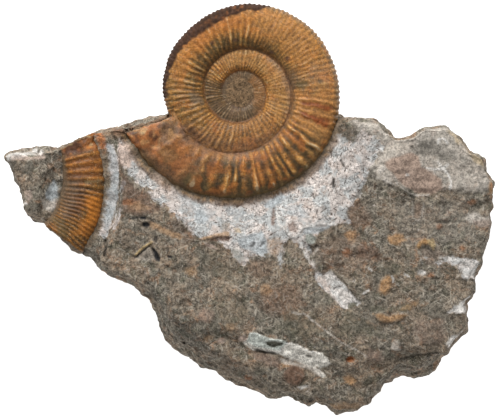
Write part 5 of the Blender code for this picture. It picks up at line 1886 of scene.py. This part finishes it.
# Dark pits, slots, cracks and crevices, sunk a little, and one pale raised rod: their near-black tones are
# mostly painted shade in the recesses.
CUTS_WITH_PAINTED_SHADE = (
    Spot(Stain.INK, 0.95, 0.4, 0.2, (-33.8, -2.8), (1.15, 0.51), -5, lift=-0.6),
    Spot(Stain.INK, 0.95, 0.4, 0.3, (-32.8, -4.9), (1.28, 0.83), -10, lift=-0.8),
    Streak(Stain.INK, 0.7, 0.4, 0.3, (-37.9, -3, -35, -2.6), 0.4, lift=-0.3),
    Streak(Stain.INK, 0.8, 0.4, 0.2, (-32.2, -2.8, -30.7, -3.8), 0.5, lift=-0.4),
    Spot(Stain.INK, 0.7, 0.6, 0.4, (-29.9, -9.4), (0.83, 1.15), -20, lift=-0.4),
    Streak(Stain.SAND, 0.95, 0.4, 0.2, (-36.3, -14.5, -33.8, -12.1, -31.2, -10.5), 0.7, lift=0.5),
    Streak(Stain.INK, 0.85, 0.4, 0.2, (-36.6, -15.4, -31.2, -11.1), 0.5, lift=-0.5),
    Patch(Stain.INK, 0.95, 0.5, 0.3, (-31.8, -11.8, -30.9, -12.1, -29.6, -13.4, -28.5, -15.3, -28.6, -16.6,
        -29.9, -16.2, -30.6, -14), lift=-0.9),
    Spot(Stain.INK, 0.9, 0.4, 0.2, (-25.4, -15.1), (0.77, 0.45), -10, lift=-0.5),
    # Painted shade: the dark line along the ledge and the crevice below the plate.
    Patch(Stain.MOSS, 0.95, 0.4, 0.3, (5.3, -42.5, 7.2, -42, 10.7, -42.5, 10.1, -43.4, 7.5, -43.9, 5.6,
        -43.3), lift=-1.2),
    Streak(Stain.SOOT, 0.85, 0.5, 0.3, (2.4, -44.9, 5, -45.7, 7.8, -45.8), 0.9, lift=-0.7),
    Spot(Stain.SOOT, 0.75, 0.5, 0.3, (19, -46.8), (0.96, 0.45), -15, lift=-0.5),
    Streak(Stain.SOOT, 0.85, 0.4, 0.2, (0.6, -11.8, 1.6, -10.8), 0.55, lift=-0.4),
    Streak(Stain.SOOT, 0.85, 0.4, 0.2, (3.4, -11.8, 4.6, -10.6), 0.55, lift=-0.4),
    Spot(Stain.SOOT, 0.75, 0.4, 0.3, (27.2, -25.2), (0.7, 0.45), 30, lift=-0.3),
    Spot(Stain.SOOT, 0.7, 0.4, 0.3, (28.7, -24.7), (0.6, 0.45), lift=-0.3),
    Streak(Stain.UMBER, 0.8, 0.3, 0.2, (25.1, -23, 25.6, -25), 0.4, lift=-0.3),
    Spot(Stain.SOOT, 0.6, 0.4, 0.3, (29.1, -27.2), (0.5, 0.35), lift=-0.3),
    Patch(Stain.MOSS, 0.85, 0.4, 0.3, (31.4, -30, 32.2, -29.7, 34.4, -29.8, 33.8, -30.6, 31.2, -31.8),
        lift=-0.3),
    Spot(Stain.SOOT, 0.8, 0.4, 0.3, (26.7, 8.4), (0.51, 1.15), lift=-0.5),
    Spot(Stain.SOOT, 0.7, 0.5, 0.3, (-32.8, -15.2), (0.8, 0.5), lift=-0.3),
    Streak(Stain.SOOT, 0.9, 0.4, 0.2, (-46, -9.9, -45.9, -12.6, -46.4, -14.8), 0.8, lift=-1.2),
    Streak(Stain.SOOT, 0.8, 0.4, 0.2, (26.9, 9.7, 26.8, 7), 0.7, lift=-0.5),
    Streak(Stain.SOOT, 0.8, 0.4, 0.2, (29.2, 15.6, 30, 14), 0.8, lift=-0.5),
    Streak(Stain.SOOT, 0.85, 0.4, 0.2, (-27, 6.6, -26.4, 5.4), 0.5, lift=-0.4),
    Streak(Stain.SOOT, 0.7, 0.4, 0.2, (-32.6, 10.8, -31.2, 11.3), 0.5, lift=-0.4),
    Patch(Stain.SOOT, 0.9, 0.5, 0.3, (-21.3, -42.5, -20.7, -42.3, -18.9, -46.2, -19.7, -46.6), lift=-1.4),
    Spot(Stain.SOOT, 0.85, 0.5, 0.2, (19.9, -61.2), (1.1, 0.8), lift=-0.9),
    Streak(Stain.SOOT, 0.55, 0.5, 0.4, (57.9, -22.1, 73.2, -22.8), 0.5, lift=-0.5),
    Streak(Stain.SOOT, 0.5, 0.7, 0.5, (41.6, -51.1, 49.8, -47.4, 57.1, -45.8, 60, -45.8), 0.6, lift=-0.4),
    Streak(Stain.SLATE, 0.5, 0.5, 0.4, (51.9, 4.6, 52.3, 0.5, 52.1, -3.5), 0.5, lift=-0.3),
    Streak(Stain.SLATE, 0.45, 0.6, 0.4, (45.3, -4.6, 50.5, -4.2, 55.6, -4.4, 68.5, -3.9), 0.5, lift=-0.3),
    Patch(Stain.SLATE, 0.5, 1.4, 0.8, (51.2, 20, 55.6, 20.7, 59.3, 19.6, 55.6, 18.2, 53.8, 17.1, 51.6,
        18.5), lift=-0.4),
    Patch(Stain.SLATE, 0.5, 1.2, 0.6, (59.3, 17.8, 63, 17.4, 63.3, 15.6, 60.4, 15.6), lift=-0.3),
    Streak(Stain.SLATE, 0.5, 0.8, 0.4, (38.7, 12.6, 35, 5.3, 32.1, 1.3), 0.6, lift=-0.3),
    # Painted shade along the edge where the top face turns down to the lower-left side.
    Streak(Stain.SOOT, 0.4, 0.8, 0.5, (-32.1, -27, -29.7, -29, -28, -32.7, -24.8, -35.1, -20.3, -37.6, -17,
        -40.5, -13.8, -44.5, -8.9, -47, 0.9, -50.7, 12.8, -57.6), 0.7, lift=-0.3),
)


@dataclass
class LimestoneBlock(Part):
    """The block of rock: the CAD node's form, roughened, worked and stained."""

    name: str = "limestone_matrix"
    node: str = "limestone_block"
    slot: str = "limestone"
    coil: Coil = field(default_factory=Coil)
    second: SecondWhorl = field(default_factory=SecondWhorl)
    finish: LimestoneFinish = field(default_factory=LimestoneFinish)
    voxel: float = 0.46
    left_on_sides: float = 0.27
    left_below: float = 0.04
    base_level: float = 1.5
    socket_top: float = 19.0
    press_in: float = 0.3
    pressed_width: float = 2.6
    most_drawn_in: float = 1.6
    rim_width: float = 1.2
    wide_rim: float = 2.3
    rim_rise: float = 1.0
    hidden_to: float = 24.0
    mark_depth: float = 4.0
    top_cell: float = 1.0
    edge_nudges: tuple[Nudge, ...] = (
        Nudge((48, 25.8), (0.3, -2.1), 4.4), Nudge((28.6, 31), (0.7, 2.8), 3.4),
        Nudge((42, 26.5), (0.6, 0.7), 3.4), Nudge((43, 27.2), (-0.2, -1.3), 4),
        Nudge((56, 25.5), (0, 0.5), 4), Nudge((62.5, 24), (0.4, 0.4), 4), Nudge((73.5, 16), (0.1, 0.1), 5),
        Nudge((78, 3), (0.5, 0), 3), Nudge((70.4, -31.4), (-0.6, 0.2), 2.6), Nudge((74, -18), (1, 0), 4),
        Nudge((69.5, -38), (0.4, -0.2), 3.5), Nudge((-78, 16.5), (-0.8, 0.4), 6),
        Nudge((-75, 9.5), (-0.9, -0.4), 6), Nudge((-70.6, 19.9), (-0.2, -0.2), 4),
        Nudge((-70.5, -0.5), (-0.3, -0.3), 5), Nudge((-43, -21.5), (0, 0.1), 7),
        Nudge((-34.5, -26.9), (-0.9, -0.4), 3.6), Nudge((-31, -32), (-0.3, -0.3), 5),
        Nudge((73.4, -22.8), (-0.8, 0.1), 2.6), Nudge((15.8, -62.2), (0, 0.8), 2.2),
        Nudge((-5, -55.5), (-0.2, -0.6), 6), Nudge((2, -58), (-0.2, -0.6), 4),
        Nudge((12.5, -62.4), (0, 2.1), 3.4), Nudge((23.6, -65), (0.2, 2), 2.8),
        Nudge((28.5, -65.6), (0, -0.5), 2.6), Nudge((33.4, -64.4), (0.4, -0.8), 3.6),
    )

    def copied(self) -> Piece:
        """Copies the CAD node.

        Returns:
            The copy, with its loose triangles merged.
        """
        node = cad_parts["limestone_block"]
        piece = bpy.data.objects.new("limestone_copy", node.data.copy())
        bpy.context.scene.collection.objects.link(piece)
        piece.data.materials.clear()
        merge_doubles(piece, 0.01)
        return piece

    def press_to_shells(self, places: Array, facings: Array) -> Array:
        """Closes the narrow gap that the solids keep between the rock and the shells.

        Args:
            places: the block's points, in millimetres.
            facings: which way the surface faces at each.

        Returns:
            The points, with those of the beds raised to the shells' undersides and the walls drawn in.
        """
        moved = places.copy()
        for shell in (self.coil, self.second):
            rows = np.flatnonzero(places[:, 2] > self.socket_top)
            gap, nearest = off_outline(places[rows, :2], shell.outline())
            bed = (gap < 0.6) & (facings[rows, 2] > 0.3) & (places[rows, 2] < shell.level)
            under = shell.underside(places[rows]) + self.press_in
            height = np.where(bed, np.maximum(places[rows, 2], under), places[rows, 2])
            side = np.minimum(np.abs(height - shell.level) / shell.most_breadth, 0.97)
            drawn_in = np.minimum(shell.half_width * (1.0 - round_section(side)), self.most_drawn_in)
            towards = (nearest - places[rows, :2]) / np.where(np.abs(gap) < 0.05, 0.05, gap)[:, None]
            pull = ease(self.pressed_width, 0.5 * self.pressed_width, gap)
            pull *= (facings[rows, :2] * towards).sum(axis=1) > -0.25
            pull *= ease(shell.level - shell.most_breadth, shell.level - 4, height)
            travel = pull * np.maximum(gap + self.press_in + drawn_in, 0.0)
            moved[rows, :2] += towards * travel[:, None]
            moved[rows, 2] = height
        return moved

    def roughness_of(self, places: Array, facings: Array, worked: Array) -> Array:
        """Height of the broken surface above the plain one.

        Args:
            places: the block's points, in millimetres.
            facings: which way the surface faces at each.
            worked: how far each was worked, from 0 to 1.

        Returns:
            The height at each point, in millimetres.
        """
        up = ease(0.25, 0.7, facings[:, 2])
        bedded = places * np.array([0.8, 0.8, 1.9])
        swell = swells(places, (0.34, 7, 41), (0.26, 3.1, 42)) - 0.2
        fine = swells(places, (0.22, 1.4, 43), (0.14, 0.85, 44))
        flakes = 0.3 * ease(-0.05, 0.05, swells(places, (1, 5.2, 45), (0.3, 1.9, 46)))
        broken = swells(bedded, (0.7, 7.5, 47), (0.6, 3.2, 48), (0.36, 1.5, 49)) - 0.1
        gap, number = grains(places, 1.5, 50)
        bumps = 0.34 * ease(0.75, 0.2, gap) * (number - 0.4)
        holes = -0.38 * ease(0.42, 0.12, gap) * (number > 0.62)
        face = swell + fine + bumps + flakes * (1.0 - worked) + holes * worked
        return face * up + (broken + fine + bumps) * (1.0 - up)

    def shape(self) -> Piece:
        """Shapes the block.

        Returns:
            The block as one rough closed skin.
        """
        piece = self.copied()
        places, facings = skinned(piece, self.voxel, 6)
        for nudge in self.edge_nudges:
            places[:, :2] += nudge.moved(places)
        worked = self.worked_share(places)
        lift = self.roughness_of(places, facings, worked)
        lift *= ease(0, self.base_level, places[:, 2])
        places = places + facings * lift[:, None]
        up = ease(0.1, 0.6, facings[:, 2])
        for marks in (LIGHT_AREAS, WORKED_STRIPS, PALE_MARKS, SPOTS, CUTS_WITH_PAINTED_SHADE):
            places[:, 2] += up * lifted(places, marks)
        beyond, below = self.beside_shell(places)
        places[:, 2] += self.rim_rise * up * below * ease(2.2, 0.2, beyond)
        places = self.press_to_shells(places, facings)
        places[:, 2] -= places[:, 2].min() * ease(4, 0, places[:, 2])
        set_places(piece, places)
        low = places[:, 2] < 1.0
        hidden = (facings[:, 2] > 0.0) & self.under_shells(places)
        thin_out(piece, (low & (facings[:, 2] < -0.9)) | hidden, self.left_below)
        thin_out(piece, facings_of(piece)[:, 2] < 0.3, self.left_on_sides)
        return piece

    def beside_shell(self, places: Array) -> tuple[Array, Array]:
        """Where places lie beside the main shell.

        Args:
            places: points in millimetres.

        Returns:
            How far out from the shell's edge each is, and how much it is below the shell in the picture.
        """
        angle = self.coil.around(places)[0] % 360.0
        beyond = off_outline(places[:, :2], self.coil.outline())[0]
        beyond += swells(places, (0.4, 1.6, 51), (0.5, 4.5, 52))
        return beyond, ease(200, 210, angle) * ease(352, 344, angle)

    def below_top(self, places: Array, facings: Array) -> Array:
        """How far each place is below the block's top, measured a little way in from the block's edge.

        Args:
            places: the block's points, in millimetres.
            facings: which way the surface faces at each.

        Returns:
            The depths, in millimetres.
        """
        cells = np.floor((places[:, :2] + 100.0) / self.top_cell).astype(int)
        tops = np.zeros((int(200.0 / self.top_cell), int(200.0 / self.top_cell)))
        np.maximum.at(tops, (cells[:, 0], cells[:, 1]), places[:, 2])
        inner = np.floor((places[:, :2] - 1.6 * facings[:, :2] + 100.0) / self.top_cell).astype(int)
        return tops[inner[:, 0], inner[:, 1]] - places[:, 2]

    def under_shells(self, places: Array) -> Array:
        """Finds what the shells hide.

        Args:
            places: the block's points, in millimetres.

        Returns:
            True at each place that a shell hides from every side.
        """
        angle, radius, _ = self.coil.unwound(places)
        below = (radius < self.coil.venter(angle) - 1.4) & (places[:, 1] < self.hidden_to)
        turned, reach, share = self.second.unwound(places)
        within_ends = (turned > self.second.first_angle + 6.0) & (turned < self.second.last_angle - 6.0)
        below |= within_ends & (share > 0.1) & (reach < self.second.venter - 1.4)
        return below & (places[:, 2] < self.coil.level + 1.0)

    def worked_share(self, places: Array) -> Array:
        """How far the face was scraped away.

        Args:
            places: the block's points, in millimetres.

        Returns:
            A share for each of them, from 0 to 1.
        """
        worked = np.zeros(len(places))
        for mark in (WORKED_ZONE, *WORKED_STRIPS):
            rows, share = mark.share(places)
            worked[rows] = np.maximum(worked[rows], mark.cover * share)
        return worked

    def colour(self, piece: Piece) -> None:
        """Keeps the block's stains at its points, with painted shade in its cuts and along its lower-left
        edge.

        Args:
            piece: the block.
        """
        places, facings = places_of(piece), facings_of(piece)
        near_top = ease(self.mark_depth, 0.4 * self.mark_depth, self.below_top(places, facings))
        seen = near_top * ease(-0.4, -0.1, facings[:, 2])
        paint = Paint(places)
        paint.mark(LIGHT_AREAS, near_top)
        worked = self.worked_share(places) * seen
        paint.colours *= 1.0 - worked[:, None]
        beyond, below = self.beside_shell(places)
        width = self.rim_width + (self.wide_rim - self.rim_width) * below
        rim = seen * ease(width + 0.6, width - 0.6, beyond)
        patchy = ease(-0.5, 0.3, swells(places, (1, 2.6, 53), (0.4, 1, 54)))
        paint.lay(Stain.GREY_BROWN, 0.75 * rim)
        paint.lay(Stain.CLAY, 0.4 * rim * below * (1.0 - patchy))
        paint.lay(Stain.OLIVE, 0.55 * seen * below * ease(0.9, 0.2, beyond))
        line = seen * below * patchy
        paint.lay(Stain.OCHRE, 0.5 * line * ease(0.6, 0.2, np.abs(beyond - 0.9)))
        paint.lay(Stain.BARK, 0.65 * line * ease(0.5, 0.1, np.abs(beyond - 1.9)))
        off_second = self.second.unwound(places)[1] - self.second.venter
        beside = ease(1.4, 0.8, off_second) * ease(-1, -0.2, off_second) * (places[:, 1] > -12)
        paint.lay(Stain.GREY_BROWN, 0.7 * seen * beside)
        for marks in (PALE_MARKS, SPOTS, CUTS_WITH_PAINTED_SHADE):
            paint.mark(marks, seen)
        keep(piece, "stain", paint.colours, Kept.COLOUR)
        keep(piece, "worked", worked)


# The studio

@dataclass(frozen=True)
class Studio:
    """A pale floor, soft light from beyond the shell, and a camera that looks straight down."""

    middle: Place = (0.16, 0.08)
    view_width: float = 160.0
    face_level: float = 29.0
    camera_height: float = 1300.0
    sensor: float = 36.0
    floor_size: float = 6000.0
    floor_tone: Tone = Tone(214, 214, 214)
    floor_glow: float = 1.4
    sky: float = 0.36
    key_from: tuple[float, float, float] = (-250.0, 1000.0, 800.0)
    key_size: float = 700.0
    key_power: float = 17.0

    def floor(self) -> None:
        """A pale floor that glows a little, so that hardly any shadow shows on it."""
        bpy.ops.object.select_all(action="DESELECT")
        bpy.ops.mesh.primitive_plane_add(size=self.floor_size * MM, location=(0.0, 0.0, -0.02 * MM))
        piece = bpy.context.object
        piece.name = "pale_floor"
        made = bpy.data.materials.new("pale_floor")
        made.use_nodes = True
        work = Wiring(made.node_tree)
        shader = work.add(
            "ShaderNodeBsdfPrincipled", Base_Color=self.floor_tone, Roughness=0.9,
            Emission_Color=self.floor_tone, Emission_Strength=self.floor_glow,
        )
        work.add("ShaderNodeOutputMaterial", Surface=shader.outputs["BSDF"])
        piece.data.materials.append(made)

    def light(self) -> None:
        """An even pale sky, and one broad soft lamp."""
        world = bpy.data.worlds.new("pale_sky")
        bpy.context.scene.world = world
        world.use_nodes = True
        sky = world.node_tree.nodes["Background"].inputs
        sky["Color"].default_value = (1.0, 1.0, 1.0, 1.0)
        sky["Strength"].default_value = self.sky
        lamp = bpy.data.lights.new("soft_key", "AREA")
        lamp.shape = "DISK"
        lamp.size = self.key_size * MM
        lamp.energy = self.key_power
        holder = bpy.data.objects.new("soft_key", lamp)
        bpy.context.scene.collection.objects.link(holder)
        place = np.array(self.key_from) * MM
        holder.location = place
        away = -place / np.linalg.norm(place)
        holder.rotation_euler = (math.acos(-away[2]), 0.0, math.atan2(away[1], away[0]) - 0.5 * math.pi)

    def camera(self) -> None:
        """A long lens high above the face, with the top of its picture towards +Y."""
        lens = bpy.data.cameras.new("from_above")
        lens.sensor_width = self.sensor
        lens.lens = self.sensor * (self.camera_height - self.face_level) / self.view_width
        lens.clip_end = 10.0
        holder = bpy.data.objects.new("from_above", lens)
        bpy.context.scene.collection.objects.link(holder)
        holder.location = (self.middle[0] * MM, self.middle[1] * MM, self.camera_height * MM)
        bpy.context.scene.camera = holder

    def build(self) -> None:
        """Sets up the floor, the light and the camera."""
        bpy.context.scene.view_settings.view_transform = "Standard"
        self.camera()
        self.light()
        self.floor()


def main() -> None:
    """Builds the scene piece by piece."""
    logging.basicConfig(level=logging.INFO, format="%(name)s: %(message)s", stream=sys.stdout)
    Studio().build()
    effects = Effects()
    for part in (LimestoneBlock(), MainShell(), SecondWhorl()):
        piece = part.build(effects)
        triangles = sum(len(face.vertices) - 2 for face in piece.data.polygons)
        LOG.info("%s: %d points, %d triangles", piece.name, len(piece.data.vertices), triangles)


if __name__ == "__main__":
    main()
